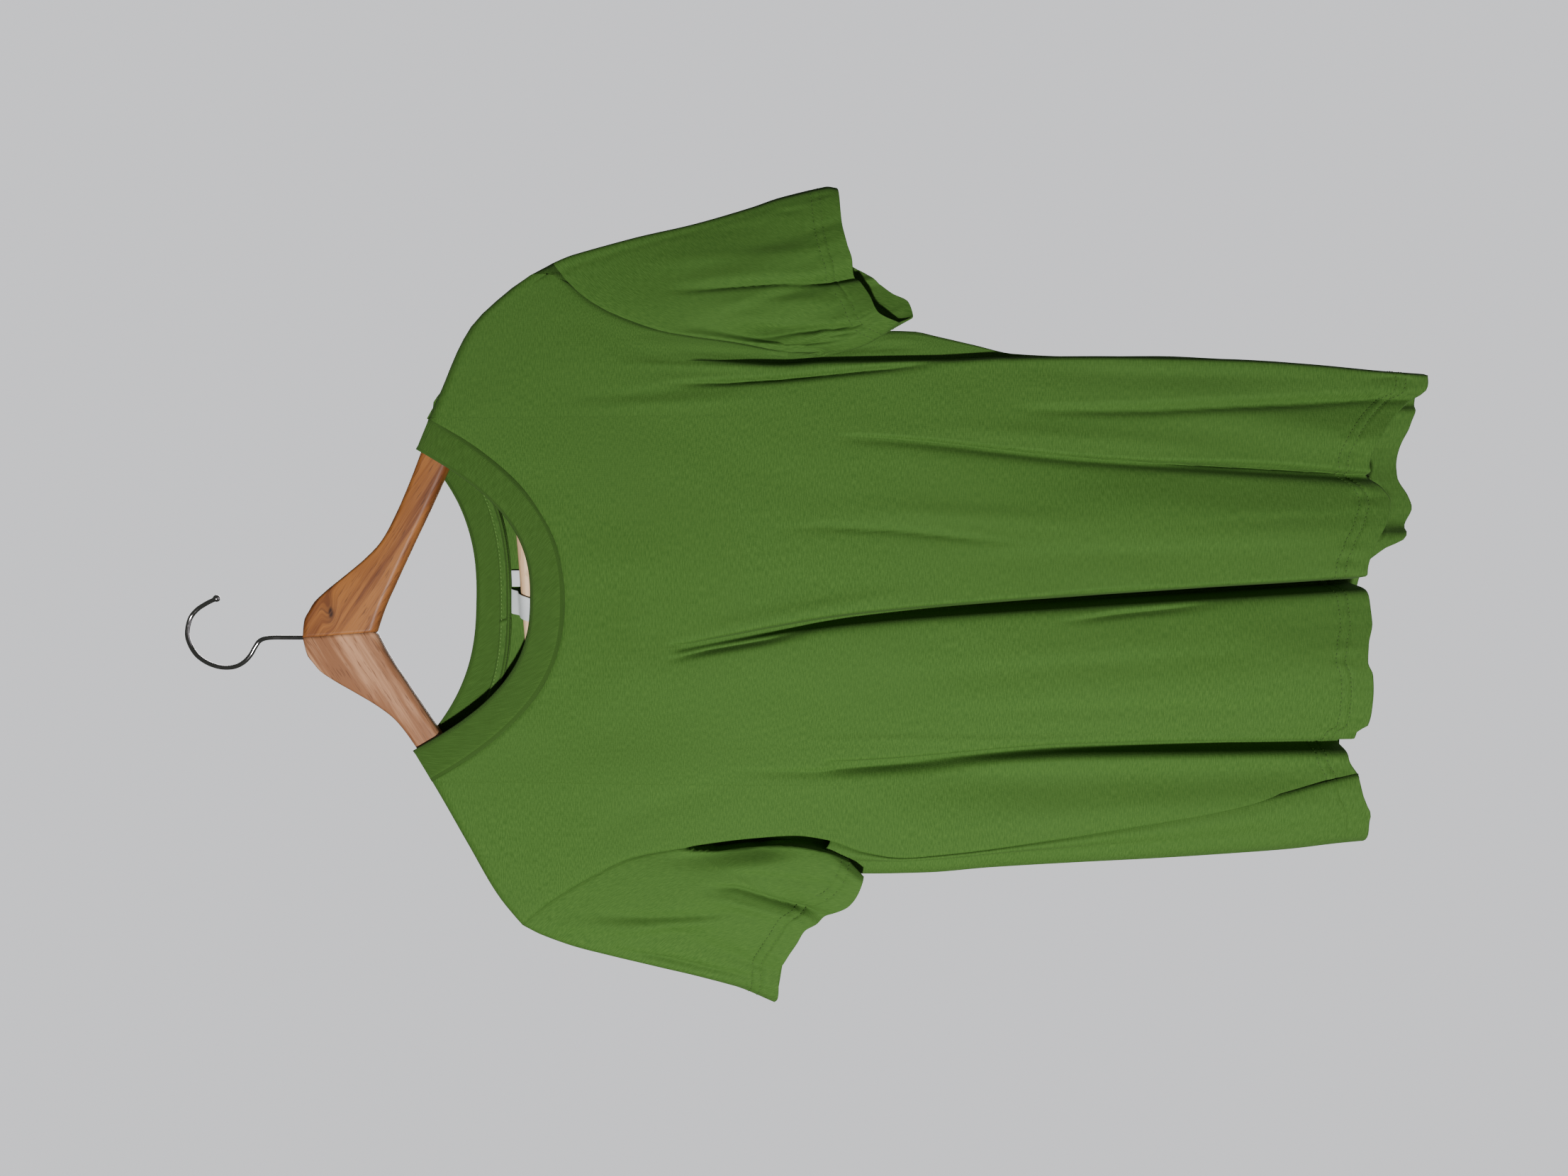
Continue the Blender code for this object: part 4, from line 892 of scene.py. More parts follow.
# The back armhole seam on the right, and the side. Columns: drop, x.
BACK_RIGHT = (
    (247.0, 249), (262, 232), (285, 214), (320, 200), (360, 192), (400, 188), (428, 188.8),
    (431.5, 190.8), *SIDE_RIGHT,
)
BACK_HEM = (
    (-150, 790), (-82, 787), (0, 795), (34, 800), (50, 804), (57, 811), (64, 825), (76, 831),
    (86, 835.5), (94, 833), (107, 826.5), (114, 826.3), (142, 832), (160, 837), (175, 834),
)
BACK_BELLY = ((4.5, 180, 400), (2, 400, 780))
BACK_CRESTS = (
    ("left swell", (-70, -74, -80, -84), 330, 790, 5, 34, 34),
    ("middle swell", (40, 36, 24, 18), 380, 790, 6, 36, 36),
    ("right swell", (120, 122, 124, 122), 350, 790, 4, 26, 26),
)
BACK_FOLDS = (
    ("left fold", (-30, -32, -38, -42), 400, 770, 9, 10, 14),
    ("middle fold", (80, 78, 70, 58), 430, 790, 11, 9, 12),
    ("right fold", (150, 150, 148, 144), 460, 780, 6, 10, 10),
)
# As FRONT_CREASES, but to the back.
BACK_CREASES = (
    (1.4, 5.0, 0.4, ((-112, 280), (-104, 360), (-104, 460), (-112, 600))),
    (-1.6, 4.0, 0.4, ((-60, 420), (-62, 520), (-66, 640), (-72, 770))),
    (1.5, 4.0, 0.4, ((-14, 380), (-16, 500), (-22, 640), (-26, 780))),
    (-1.8, 3.0, 0.4, ((4, 330), (2, 430), (-4, 540), (-8, 640))),
    (1.6, 4.5, 0.4, ((100, 360), (98, 470), (92, 600), (84, 760))),
    (-1.7, 3.0, 0.4, ((132, 420), (134, 520), (130, 650), (122, 790))),
    (1.4, 3.0, 0.4, ((168, 330), (170, 430), (168, 560), (164, 700))),
    (-1.2, 8.0, 0.5, ((-140, 260), (-80, 320), (-40, 360), (-20, 430))),
    (-1.1, 8.0, 0.5, ((200, 270), (150, 320), (110, 350), (90, 420))),
    (-1.4, 2.6, 0.5, ((60, 600), (66, 690), (60, 780))),
    (1.2, 3.0, 0.5, ((-120, 560), (-118, 660), (-112, 780))),
    (0.7, 12.0, 0.5, ((-80, 240), (-20, 276), (60, 280), (130, 252))),
)
BACK_ROW_AT_SIDE = 56  # the row at which the back armhole starts to come round the side
WRAP = np.linspace(0, 1, 25)[:-1]  # shares of the way round the side
WRAP_FLAT = 0.35  # the share of it that lies on the front
BACK_LINES = (
    ("side", None, 20),
    ("left neck", (-100, -100, -98, -96), 2),
    ("left neck, in", (-99.0, -98.5, -96, -94), 2),
    ("left neck, further in", (-97, -96, -93, -91), 24),
    ("left fold", (-30, -32, -38, -42), 44),
    ("middle fold", (80, 78, 70, 58), 26),
    ("right neck, further in", (142, 140, 135, 127), 2),
    ("right neck, in", (144, 142, 137, 129), 2),
    ("right neck", (145, 143.5, 139, 131), 28),
)
# Its hem on the way round the left side. Columns: share of the way, drop.
WRAP_HEM = (
    (0, 775.5), (0.11, 777.5), (0.2, 781), (0.29, 785), (0.35, 785), (0.6, 787.5), (1, 789),
)
# Where the back's top stands up in small ruffles. Columns: x, width, height.
RUFFLES = ((131, 5, 1.6), (146, 5, 2.2), (157, 4, 2.4))
BACK_EDGE_TURN = 16.0  # how far the back's right edge takes to come forward to the side seam


def back_y(x, drop):
    """Depth of the middle of the back's wall, with its folds."""
    return hung_depth(BACK_BELLY, BACK_CRESTS, BACK_FOLDS, x, drop)


def back_lines(drop):
    """x of every column of the back behind the side, at one drop for each of them or for all."""
    lines = [smooth(drop, SIDE_LEFT) + smooth(drop, SIDE_LEFT, 2)]
    lines += [down_cloth(x, drop) for _, x, _ in BACK_LINES[1:]]
    lines.append(smooth(drop, BACK_RIGHT))
    found = lines_between(lines, BACK_LINES)
    return np.stack(np.broadcast_arrays(*found, lines[-1]), axis=-1)


def back_surface(x, drop, relief):
    """Depth of the back, which comes forward to the side seam at its right edge as a quarter
    circle."""
    near = np.clip((x - smooth(drop, BACK_RIGHT)) / BACK_EDGE_TURN + 1, 0, 1)
    y = back_y(x, drop) + relief * np.sqrt(1 - near**2)
    seam = FLAP_Y + JERSEY / 2 + 0.12
    turned = seam + (y - seam) * np.sqrt(1 - near**2)
    return y + (turned - y) * ease(drop, 330, 428)


def round_the_side(share, drop):
    """x and y of the back panel on its way from the side seam on the front to the back: flat
    along the front first, and then half an ellipse."""
    seam_x = smooth(drop, FRONT_LEFT) - SIDE_SEAM
    seam_y = front_y(seam_x + SIDE_SEAM, drop)
    side, width = smooth(drop, SIDE_LEFT), smooth(drop, SIDE_LEFT, 2)
    far_y = back_y(side + width, drop)
    near_y = 0.8 * seam_y
    flat = np.clip(share / WRAP_FLAT, 0, 1)
    turn = np.clip((share - WRAP_FLAT) / (1 - WRAP_FLAT), 0, 1) * math.pi
    x = seam_x + (side + width - seam_x) * flat - width * np.sin(turn)
    y = seam_y + (near_y - seam_y) * flat + (far_y - near_y) * (1 - np.cos(turn)) / 2
    return x, y - 2.5 * np.sin(math.pi * flat)


def make_back():
    """The back's points: the panel behind, and to the left of it the columns that come round
    the side below the underarm, whose rows above it are missing."""
    line = own_drop(back_lines)
    rows = shares_of(PANEL_ROWS)
    drop = hang_down(line, panel_top("back seam"), lambda x: smooth(x, BACK_HEM), rows)
    x = line(drop)
    hanging = hangs_free(x, drop)
    relief = (creases(BACK_CREASES, x, drop) + slack(x, drop, 8)) * hanging
    relief += sewn_hem(drop[-1] - drop, x, 22)
    ruffled = sum(high * bell(x - at, wide) for at, wide, high in RUFFLES)
    near_top = 1 - ease(drop - ridge(x), 2, 14)
    panel = as_points(x, back_surface(x, drop, relief), drop - ruffled * near_top)
    rows = rows[BACK_ROW_AT_SIDE:]
    rows = (rows - rows[0]) / (1 - rows[0])
    start = drop[BACK_ROW_AT_SIDE, 0]
    underarm = UNDERARM_LEFT + UNDERARM_GAP
    top = underarm + (start - underarm) * WRAP**1.5
    end = smooth(WRAP, WRAP_HEM)
    wrap_drop = top + (end - top) * rows[:, None]
    wrap_x, wrap_y = round_the_side(WRAP, wrap_drop)
    on_front = 1 - ease(WRAP, WRAP_FLAT, WRAP_FLAT + 0.2)
    relief = slack(wrap_x, wrap_drop, 9) + sewn_hem(end - wrap_drop, wrap_x, 23)
    relief -= seam_valley((WRAP * 40) * np.ones_like(wrap_x))
    wrap = as_points(wrap_x, wrap_y - relief * on_front, wrap_drop)
    empty = np.full((BACK_ROW_AT_SIDE, len(WRAP), 3), np.nan)
    return np.concatenate([np.concatenate([empty, wrap]), panel], axis=1)


back_points = make_back()
turned_in = back_points[:, :1] + (ALLOWANCE, JERSEY + 0.3, 0)
back_cloth = np.concatenate([turned_in, back_points], axis=1)
back_down = np.nan_to_num(-back_cloth[..., 2])
back = cloth_wall("shirt_back", back_cloth, JERSEY, jersey, down=back_down)
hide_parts("back_panel")

# ------------------------------------------------------------------ the two sleeves
# Short set-in sleeves of the same jersey, each one piece sewn into a tube and into its armhole,
# with a turned-up cuff sewn in two rows. They hang flat and a little outwards, and are creased.
# The cuffs, in front and behind, from the fold on the outside of the arm to the one underneath.
# Columns: share of the way, x, drop, depth.
CUFF_LEFT_FRONT = (
    (0.0, -249.5, 396.0, 0), (0.06, -244, 398.5, -7), (0.2, -226, 399.5, -12),
    (0.3, -216.4, 404, -13.5), (0.4, -205.4, 411, -15), (0.5, -195.6, 417, -17),
    (0.56, -192, 424, -18.5), (0.64, -186.6, 430, -20), (0.76, -178.8, 444.8, -23),
    (0.86, -170.8, 450.5, -26), (0.95, -162.5, 453.6, -28), (1.0, -159, 454.5, -26),
)
CUFF_LEFT_BACK = (
    (0.0, -249.5, 396.0, 0), (0.1, -243, 398.5, 6), (0.3, -222, 403, 10), (0.5, -200, 420, 11),
    (0.66, -182, 443, 9), (0.78, -173, 452, 2), (0.86, -169, 454.5, -8),
    (0.93, -164.5, 454.5, -18), (1.0, -159, 454.5, -26),
)
CUFF_RIGHT_FRONT = (
    (0.0, 300.5, 438.0, 0), (0.06, 296, 439, -7), (0.25, 274, 441, -13), (0.4, 258, 444.5, -16),
    (0.48, 249, 447.5, -16), (0.54, 241, 448.5, -11), (0.64, 233, 453.5, -14),
    (0.74, 224, 459, -17), (0.88, 213, 464, -20), (0.94, 210, 468, -20), (1.0, 207, 479, -14),
)
CUFF_RIGHT_BACK = (
    (0.0, 300.5, 438.0, 0), (0.1, 293, 439.5, 5), (0.3, 272, 442, 8), (0.48, 251, 448, 6),
    (0.58, 244, 458, 3), (0.7, 236.5, 467, 0), (0.8, 229, 476, -3), (0.88, 223, 486, -6),
    (0.94, 213, 489, -9), (1.0, 207, 479, -14),
)
# Folds down a sleeve's front. Columns: share across it, depth, width as a share.
SLEEVE_FOLDS_LEFT = ((0.2, 3.0, 0.05), (0.62, 4.0, 0.06))
SLEEVE_FOLDS_RIGHT = ((0.25, 1.4, 0.06),)
# As FRONT_CREASES, on the sleeves' fronts. The backs have the same ones, softer.
SLEEVE_CREASES_LEFT = (
    (-4.4, 2.6, 0.35, ((-209, 275), (-217, 325), (-223, 350), (-228, 375), (-232, 408))),
    (-4.6, 2.4, 0.35, ((-166, 345), (-167, 372), (-177, 402), (-187, 440))),
    (3.4, 4.0, 0.4, ((-194, 232), (-196, 300), (-193, 350), (-188, 405))),
    (-2.6, 2.6, 0.4, ((-187, 262), (-188, 310), (-186, 350), (-182, 392))),
    (-2.4, 4.0, 0.4, ((-205, 290), (-197, 330), (-190, 372), (-184, 400))),
    (2.6, 3.0, 0.5, ((-174, 330), (-176, 365), (-187, 402), (-197, 424))),
    (-2.0, 3.5, 0.5, ((-158, 345), (-158, 385), (-162, 425), (-172, 456))),
    (-1.6, 2.2, 0.4, ((-240, 360), (-237, 382), (-240, 404))),
    (2.4, 5.0, 0.5, ((-212, 250), (-222, 290), (-232, 340), (-240, 380))),
)
SLEEVE_CREASES_RIGHT = (
    (-4.6, -2.4, 0.25, ((227, 318), (228, 341), (231, 391), (233.5, 433), (237, 451), (246, 510))),
    (-0.9, 1.8, 0.4, ((281, 394), (282, 404), (284, 422))),
    (-7.0, 2.2, 0.3, ((199, 372), (201, 400), (203, 430), (205, 462))),
    (1.3, 5.0, 0.4, ((245, 290), (249, 340), (252, 390), (254, 450))),
    (1.0, 4.0, 0.4, ((216, 330), (219, 380), (220, 420), (217, 455))),
    (-0.8, 5.0, 0.5, ((264, 300), (268, 350), (272, 400), (275, 438))),
    (-4.0, 1.5, 0.4, ((191, 385), (192.5, 405), (194.5, 432), (197, 452))),
    (-3.0, 1.5, 0.4, ((188, 405), (195, 420), (198, 434), (201, 460))),
    (2.4, 2.2, 0.5, ((190, 414), (197, 424), (205, 436), (214, 448))),
)
# Rows from the armhole to the cuff. Columns: share of the way, rows on to the next share.
SLEEVE_ROWS = ((0.0, 24), (0.12, 42), (0.86, 30), (1.0, 1))
# How far the outside of a sleeve bows out past a straight line, to the right. Columns: share of
# the way down it, x.
BOW_LEFT = (
    (0, 0), (0.08, -2.6), (0.2, -3.7), (0.33, -2.6), (0.55, 0), (0.7, 1.8), (0.85, 2.6), (1, 0),
)
BOW_RIGHT = (
    (0, 0), (0.07, 1.9), (0.28, 2.6), (0.49, 1.4), (0.7, 2.6), (0.8, 4), (0.96, 3.1), (1, 0.3),
)
BOW_REACH = 0.3  # the share across it that follows
PUFF = 5.0  # how far a sleeve's front stands out halfway down
CLEAR_OF_BODY = 3.0  # how far a sleeve stands off the body under the arm
CLEAR_SHARE = 0.03  # the share of its length in which it gets there
STEP_OVER = 1.6  # how far it first rises from the seam there, to clear the body's edge
STEP_SHARES = (0.012, 0.07, 0.14)  # of its length: up by the first, down from the next to the last
GULLY = 6.0  # how deep the cloth dips between the body and the sleeve, at the underarm
CUFF_ROWS = (13.0, 19.0)  # the two rows of stitches, from the cuff's edge
CUFF_ROUND = 190  # millimetres of cuff for the whole share across it, where it puckers
# The dark gap between the body and the left sleeve. Columns: drop, width.
GAP = ((335, 0), (348, 3.6), (362, 5.8), (400, 5.4), (430, 6.2), (456, 9))
GAP_DEEP = 15.0
GAP_EDGES = (0.8, 1.6)  # how far its side at the body and its side at the sleeve take
UNDER_BOW = 6.0  # how far the underside of the right sleeve bows towards the body


def seam_loop(front, back, side):
    """Where a sleeve starts: the panels' armhole edges, front from the shoulder to the underarm
    and back up, each point moved on from its panel by the seam. Also which way that is, which
    way is out of the body there, each point's share of the way, and how many are in front."""

    def outwards(edge, inner):
        along = np.gradient(edge, axis=0)
        along /= np.linalg.norm(along, axis=-1, keepdims=True)
        away = edge - inner
        away = away - along * (away * along).sum(axis=-1, keepdims=True)
        away /= np.linalg.norm(away, axis=-1, keepdims=True)
        return np.stack([edge + away * SEAM, away])

    if side == "left":
        last = np.searchsorted(-front[:, 0, 2], UNDERARM_LEFT) + 1
        first = outwards(front[:last, 0], front[:last, 1])
        k, n = BACK_ROW_AT_SIDE, len(WRAP)
        under = outwards(back[k, :n], back[k + 1, :n])
        rise = outwards(back[: k + 1, n], back[: k + 1, n + 1])[:, ::-1]
        second = np.concatenate([under, rise], axis=1)
        turn = np.clip((WRAP - WRAP_FLAT) / (1 - WRAP_FLAT), 0, 1) * math.pi
        turn = np.concatenate([np.zeros(last), turn, np.full(k + 1, math.pi)])
        facing = np.stack([-np.sin(turn), -np.cos(turn), 0 * turn], axis=-1)
    else:
        last = np.searchsorted(-front[:, -1, 2], UNDERARM_RIGHT) + 1
        first = outwards(front[:last, -1], front[:last, -2])
        last = np.searchsorted(-back[:, -1, 2], UNDERARM_RIGHT) + 1
        second = outwards(back[:last, -1], back[:last, -2])[:, ::-1]
        facing = np.concatenate([np.tile((0.7, -0.7, 0), (first.shape[1], 1)),
                                 np.tile((1.0, 0.3, 0), (second.shape[1], 1))])
    shares = []
    for part, backwards in ((first[0], False), (second[0], True)):
        run = way_along(part)
        run = run / run[-1]
        shares.append(1 - run if backwards else run)
    loop, away = np.concatenate([first, second], axis=1)
    return loop, away, facing, np.concatenate(shares), first.shape[1]


def make_sleeve(side, cuffs, bow, folds, creased, seed):
    """A sleeve's points: straight lines from the armhole's seam to the cuff, stood off the body
    and puffed out between them, and then the folds, creases and the sewn cuff."""
    loop, away, facing, share, in_front = seam_loop(front_points, back_points, side)
    forward = np.arange(len(loop)) < in_front
    ends = [as_points(smooth(share, cuff), smooth(share, cuff, 3), smooth(share, cuff, 2))
            for cuff in cuffs]
    ends = np.where(forward[:, None], *ends)
    way = shares_of(SLEEVE_ROWS)[:, None]
    points = loop + (ends - loop) * way[..., None]
    under = ease(share, 0.45, 0.7) * (1 - ease(share, 0.75, 0.9))
    dip = GULLY * under * ease(way, 0, 0.13) * (1 - ease(way, 0.13, 0.34))
    puff = PUFF * np.sin(math.pi * share) * np.sin(math.pi * way)
    below = np.where(forward, ease(share, 0.72, 0.9), ease(share, 0.45, 0.72))
    below *= 1 - 0.8 * ease(share, 0.95, 1)
    lift = CLEAR_OF_BODY * below * np.clip(way / CLEAR_SHARE, 0, 1) * (1 - way**2)
    points += facing * lift[..., None]
    points[..., 0] += smooth(way, bow) * (1 - ease(share, 0, BOW_REACH))
    step = np.clip(way / STEP_SHARES[0], 0, 1) * (1 - ease(way, *STEP_SHARES[1:]))
    points += away * (STEP_OVER * below * step)[..., None]
    for at, deep, width in folds:
        dip = dip + deep * ease(way, 0.25, 0.75) * bell(share - at, width)
    x, drop = points[..., 0], -points[..., 2]
    if side == "left":
        off = smooth(drop, FRONT_LEFT) - x
        wide = smooth(drop, GAP)
        across = ease(off, 0, GAP_EDGES[0]) * (1 - ease(off, wide, wide + GAP_EDGES[1]))
        dip = dip + GAP_DEEP * across * ease(drop, 334, 346)
        dip = dip * np.where(forward, 1, ease(share, 0.8, 0.95))
    else:
        points[..., 0] -= UNDER_BOW * ease(share, 0.75, 0.95) * np.sin(math.pi * way)
    free = ease(way, 0.0, 0.12)
    length = np.linalg.norm(ends - loop, axis=-1)
    relief = (creases(creased, x, drop) + slack(x, drop, seed, 0.4)) * free
    up = length * (1 - way) + HEM_ROWS[0] - CUFF_ROWS[0]
    relief += sewn_hem(up, share * CUFF_ROUND, seed + 1) * free
    relief += seam_valley(0) - seam_valley(length * way, 1.4)
    relief *= np.sin(math.pi * np.clip(share, 0.0, 1.0)) ** 0.3
    points[..., 1] += np.where(forward, dip - puff - relief, 0.4 * puff + 0.6 * relief)
    points[..., 1] += np.where(forward, 0, dip * (side == "left"))
    along = np.gradient(loop, axis=0)
    inwards = np.cross(along, away) * (1 if side == "left" else -1)
    inwards /= np.linalg.norm(inwards, axis=-1, keepdims=True)
    tucked = loop - away * ALLOWANCE + inwards * (JERSEY + 0.25)
    return np.concatenate([tucked[None], points])


sleeve_points = {}
for side_name, cuffs, bow, folds, creased, seed in (
    ("left", (CUFF_LEFT_FRONT, CUFF_LEFT_BACK), BOW_LEFT, SLEEVE_FOLDS_LEFT,
     SLEEVE_CREASES_LEFT, 31),
    ("right", (CUFF_RIGHT_FRONT, CUFF_RIGHT_BACK), BOW_RIGHT, SLEEVE_FOLDS_RIGHT,
     SLEEVE_CREASES_RIGHT, 41),
):
    points = make_sleeve(side_name, cuffs, bow, folds, creased, seed)
    sleeve_points[side_name] = points
    sleeve = cloth_wall(f"shirt_{side_name}_sleeve", points, JERSEY, jersey, closed=True)
    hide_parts(f"{side_name}_sleeve")

# ------------------------------------------------------------------ the neckband
# A strip of 1x1 rib, folded double along its length and sewn round the neck by its two raw
# edges, which turn down under the jersey. Its ribs run across it, about 1 mm apart.
RIB = 1.9
BAND_ROWS = 22
BAND_RIBS = 620  # in the whole band
RIB_HEIGHT = 0.22
RIB_LOOP = 0.0009  # metres from one loop to the next along a rib
BAND_INSET = 0.35  # from the panels' neck edge to the band's
BAND_CROWN = 1.0  # how far the middle of the folded strip stands out from its edges


def make_neckband():
    """The band's points: across it from the seam to the fold in even steps, at the depth of the
    panel it is sewn to, crowned in the middle as half an ellipse; two columns to each rib, one
    raised and one drawn in."""
    angle = np.linspace(0, math.pi, BAND_RIBS, endpoint=False)
    row = np.linspace(0, 1, BAND_ROWS)[:, None]
    crown = BAND_CROWN * np.sqrt(1 - (2 * row - 1) ** 2)
    ribbed = RIB_HEIGHT * np.where(np.arange(BAND_RIBS) % 2 == 0, 1, -1) * np.minimum(crown, 0.6)
    halves = []
    for seam, edge, turn, surface, out in (
        ("front seam", "front edge", -np.cos(angle), front_y, -1),
        ("back seam", "back edge", np.cos(angle), back_y, 1),
    ):
        outer_x = NECK_X + (NECK[seam]["half"] - BAND_INSET) * turn
        inner_x = NECK_X + NECK[edge]["half"] * turn
        outer_drop, inner_drop = neck(seam, outer_x, BAND_INSET), neck(edge, inner_x)
        x = outer_x + (inner_x - outer_x) * row
        drop = outer_drop + (inner_drop - outer_drop) * row
        drop = np.where(np.abs(turn) > 0.9999, ridge(x), drop)
        hanging = ease(drop - ridge(x), 3, 20)
        relief = crown * hanging + ribbed - 0.5 * (1 - ease(row, 0, 0.12))
        relief = relief + 0.5 * slack(x, drop, 51) * hanging
        band = as_points(x, surface(x, drop) + out * relief, drop)
        way = band[0] - band[2]
        tucked = band[0] + way / np.linalg.norm(way, axis=-1, keepdims=True) * ALLOWANCE
        tucked[:, 1] -= out * (JERSEY + 0.5) * hanging[0]
        tucked[:, 2] -= (JERSEY + 0.5) * (1 - hanging[0])
        halves.append(np.concatenate([tucked[None], band]))
    return np.concatenate(halves, axis=1)


def rib_finish():
    """Green rib: the jersey's yarn, with painted shade that makes the furrows between the ribs a
    little darker.
    """
    material, shade, link = start_finish("rib", COTTON)
    cloth, across, down = cloth_place(shade)
    yarn = cloth.mapped(Scale=(900, 160, 1)).noise(Detail=3.0)
    worn = shade.own_place().noise(14.0, Detail=3.0)
    rib = across.wave(WALE)
    colour = yarn.between(0.3, 0.75).mixed((0.030, 0.078, 0.008, 1), (0.046, 0.106, 0.016, 1))
    colour = (worn.between(0.4, 0.7) * 0.3).mixed(colour, (0.036, 0.084, 0.013, 1))
    # Painted shade: the furrows between the ribs are mixed towards a darker green.
    colour = ((1 - rib) * 0.30).mixed(colour, (0.018, 0.048, 0.005, 1))
    bump = (rib + 0.35 * down.wave(RIB_LOOP) + 0.5 * yarn).bump(0.6, 0.0003)
    link({"Base Color": colour, "Roughness": 0.82 + 0.12 * yarn, "Normal": bump})
    return material


rib = rib_finish()
band_points = make_neckband()
band = cloth_wall("shirt_neckband", band_points, RIB, rib, closed=True)
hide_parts("neckband")

# ------------------------------------------------------------------ the neck tape
# An 8 mm strip of the jersey, laid over the back neck seam inside the shirt and sewn down along
# both its edges, with a small join a little left of the middle of the neck.
TAPE = 1.0
TAPE_ABOVE = 4.2
TAPE_BELOW = 3.6
TAPE_X = (-74.0, 120.0)
JOIN_X = 6.5


def tape_y(x, drop):
    """Depth of the tape's middle, just inside the band and the panel."""
    return back_y(x, drop) - (RIB / 2 + 0.4 + TAPE / 2)


def make_tape():
    """The tape's points: across it, from above the seam to below it, crowned a little, with its
    ends on the panel and the pucker of its join."""
    x = np.linspace(*TAPE_X, 260)
    across = np.linspace(0, 1, 12)[:, None]
    drop = neck("back seam", x) - TAPE_ABOVE + (TAPE_ABOVE + TAPE_BELOW) * across
    crown = 0.45 * np.sqrt(1 - (2 * across - 1) ** 2)
    crown = crown + 0.05 * np.sin(x / 2.3) + 0.06 * np.sin(x / 5.1)
    join = 0.7 * bell(x - JOIN_X - 2 * across, 1.2)
    join = join - 0.8 * bell(x - JOIN_X - 2.4 - 2 * across, 0.7)
    return as_points(x, tape_y(x, drop) - crown - join, drop)


tape_points = make_tape()
# The tape's jersey is a copy painted 8 % darker: painted shade inside the neck.
tape = cloth_wall("shirt_neck_tape", tape_points, TAPE, jersey_finish("tape jersey", 0.92))
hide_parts("neck_tape")

# ------------------------------------------------------------------ the two labels
# Woven satin labels, white and left bare, caught in the tape's lower row of stitches. The main
# one falls forward over the hanger's bar; the small one hangs behind it.
LABEL_WALL = 0.5
# The main label's way over the bar. Columns: depth, drop below the bar's axis.
LABEL_PATH = (
    (5.3, -12.0), (4.2, -9.8), (1.8, -7.8), (-1.6, -6.8), (-4.4, -5.0), (-6.2, -2.4),
    (-6.7, 1.2), (-6.7, 7.0),
)
LABEL_X = (13.5, 30.0)
LABEL_LEAN = -8.0
LABEL_STEPS = 5
SIZE_LABEL_X = (31.5, 42.5)
SIZE_LABEL_HEIGHT = 5.5


def make_label():
    """The main label's points: a smooth curve through its path for its length, straight across,
    leaning to the left as it falls, with its right edge curling a little."""
    path = through(LABEL_PATH, LABEL_STEPS)
    run = way_along(path)
    run = (run / run[-1])[:, None]
    across = np.linspace(0, 1, 30)
    x = LABEL_X[0] + (LABEL_X[1] - LABEL_X[0]) * across + LABEL_LEAN * run
    along = (x - BLOCK_TOP[0]) / math.cos(TILT) - BAR_BELOW * math.tan(TILT)
    _, axis_z = upright(along, -BAR_BELOW)
    over = path[:, 1:] - axis_z
    top = neck("back seam", x) + TAPE_BELOW + 0.4
    drop = top + (over - top) * ease(run, 0, 0.2)
    curl = 0.5 * across**3 * np.sin(math.pi * run) + 0.15 * np.sin(5 * across + 3 * run)
    return as_points(x, path[:, :1] - curl, drop)


def make_size_label():
    """The small label's points: hanging straight down from the tape, bowed a little."""
    down = np.linspace(0, 1, 10)[:, None]
    x = np.linspace(*SIZE_LABEL_X, 20)
    drop = neck("back seam", x) + TAPE_BELOW + 0.4 + SIZE_LABEL_HEIGHT * down
    bow = 0.3 * np.cos((x - SIZE_LABEL_X[0]) / 4.0)
    return as_points(x, tape_y(x, drop) + bow * down, drop)


def satin_finish():
    """White satin weave: bright floats along the label, close fine ribs across it, bare."""
    material, shade, link = start_finish("satin label", {
        "Specular IOR Level": 0.45, "Sheen Weight": 0.15, "Sheen Roughness": 0.3,
    })
    cloth, across, down = cloth_place(shade)
    weft, warp = down.wave(0.00045), across.wave(0.00030)
    noise = cloth.noise(700.0, Detail=2.0)
    colour = (weft * 0.5 + noise * 0.3).mixed((0.56, 0.58, 0.59, 1), (0.40, 0.42, 0.43, 1))
    bump = (weft + 0.5 * warp).bump(0.4, 0.0001)
    link({"Base Color": colour, "Roughness": 0.42 + 0.2 * noise, "Normal": bump})
    return material


satin = satin_finish()
for name, node, points, cut in (
    ("main_label", "neck_label", make_label(), (0.0175, 0.030)),
    ("small_label", "size_label", make_size_label(), (0.0115, 0.0100)),
):
    label = cloth_wall(name, points, LABEL_WALL, satin)
    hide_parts(node)

# ------------------------------------------------------------------ the stitches
# Green thread. The hems and cuffs have two rows from a twin needle; the tape has a row along
# each edge; and inside the back's hem the raw edge is bound with slanting overlock loops.
THREAD = 0.34  # radius
ON_JERSEY = JERSEY / 2 + 0.1  # from the middle of the wall to the middle of a thread on it
STITCH_SIDES = 5
# From one stitch to the next, and how long each is.
HEM_STITCH, TAPE_STITCH, OVERLOCK_STITCH = (2.9, 2.1), (2.6, 1.9), (1.9, 4.2)
OVERLOCK_SLANTS = (0.95, -1.15)
TAPE_EDGE = 1.2  # from the tape's edge to its row of stitches
FLAT_CUFF = 12  # how much more a cuff's stitches face to the front or the back than outwards
# Rings along a stitch. Columns: share of its half length, radius as a share of THREAD.
STITCH = ((-1.0, 0.25), (-0.55, 1.0), (0.55, 1.0), (1.0, 0.25))


def normals_of(points):
    """Unit normals of a grid: the cross product of its steps along the rows and columns."""
    across, down = np.gradient(points, axis=1), np.gradient(points, axis=0)
    out = np.cross(down, across)
    return out / np.linalg.norm(out, axis=-1, keepdims=True)


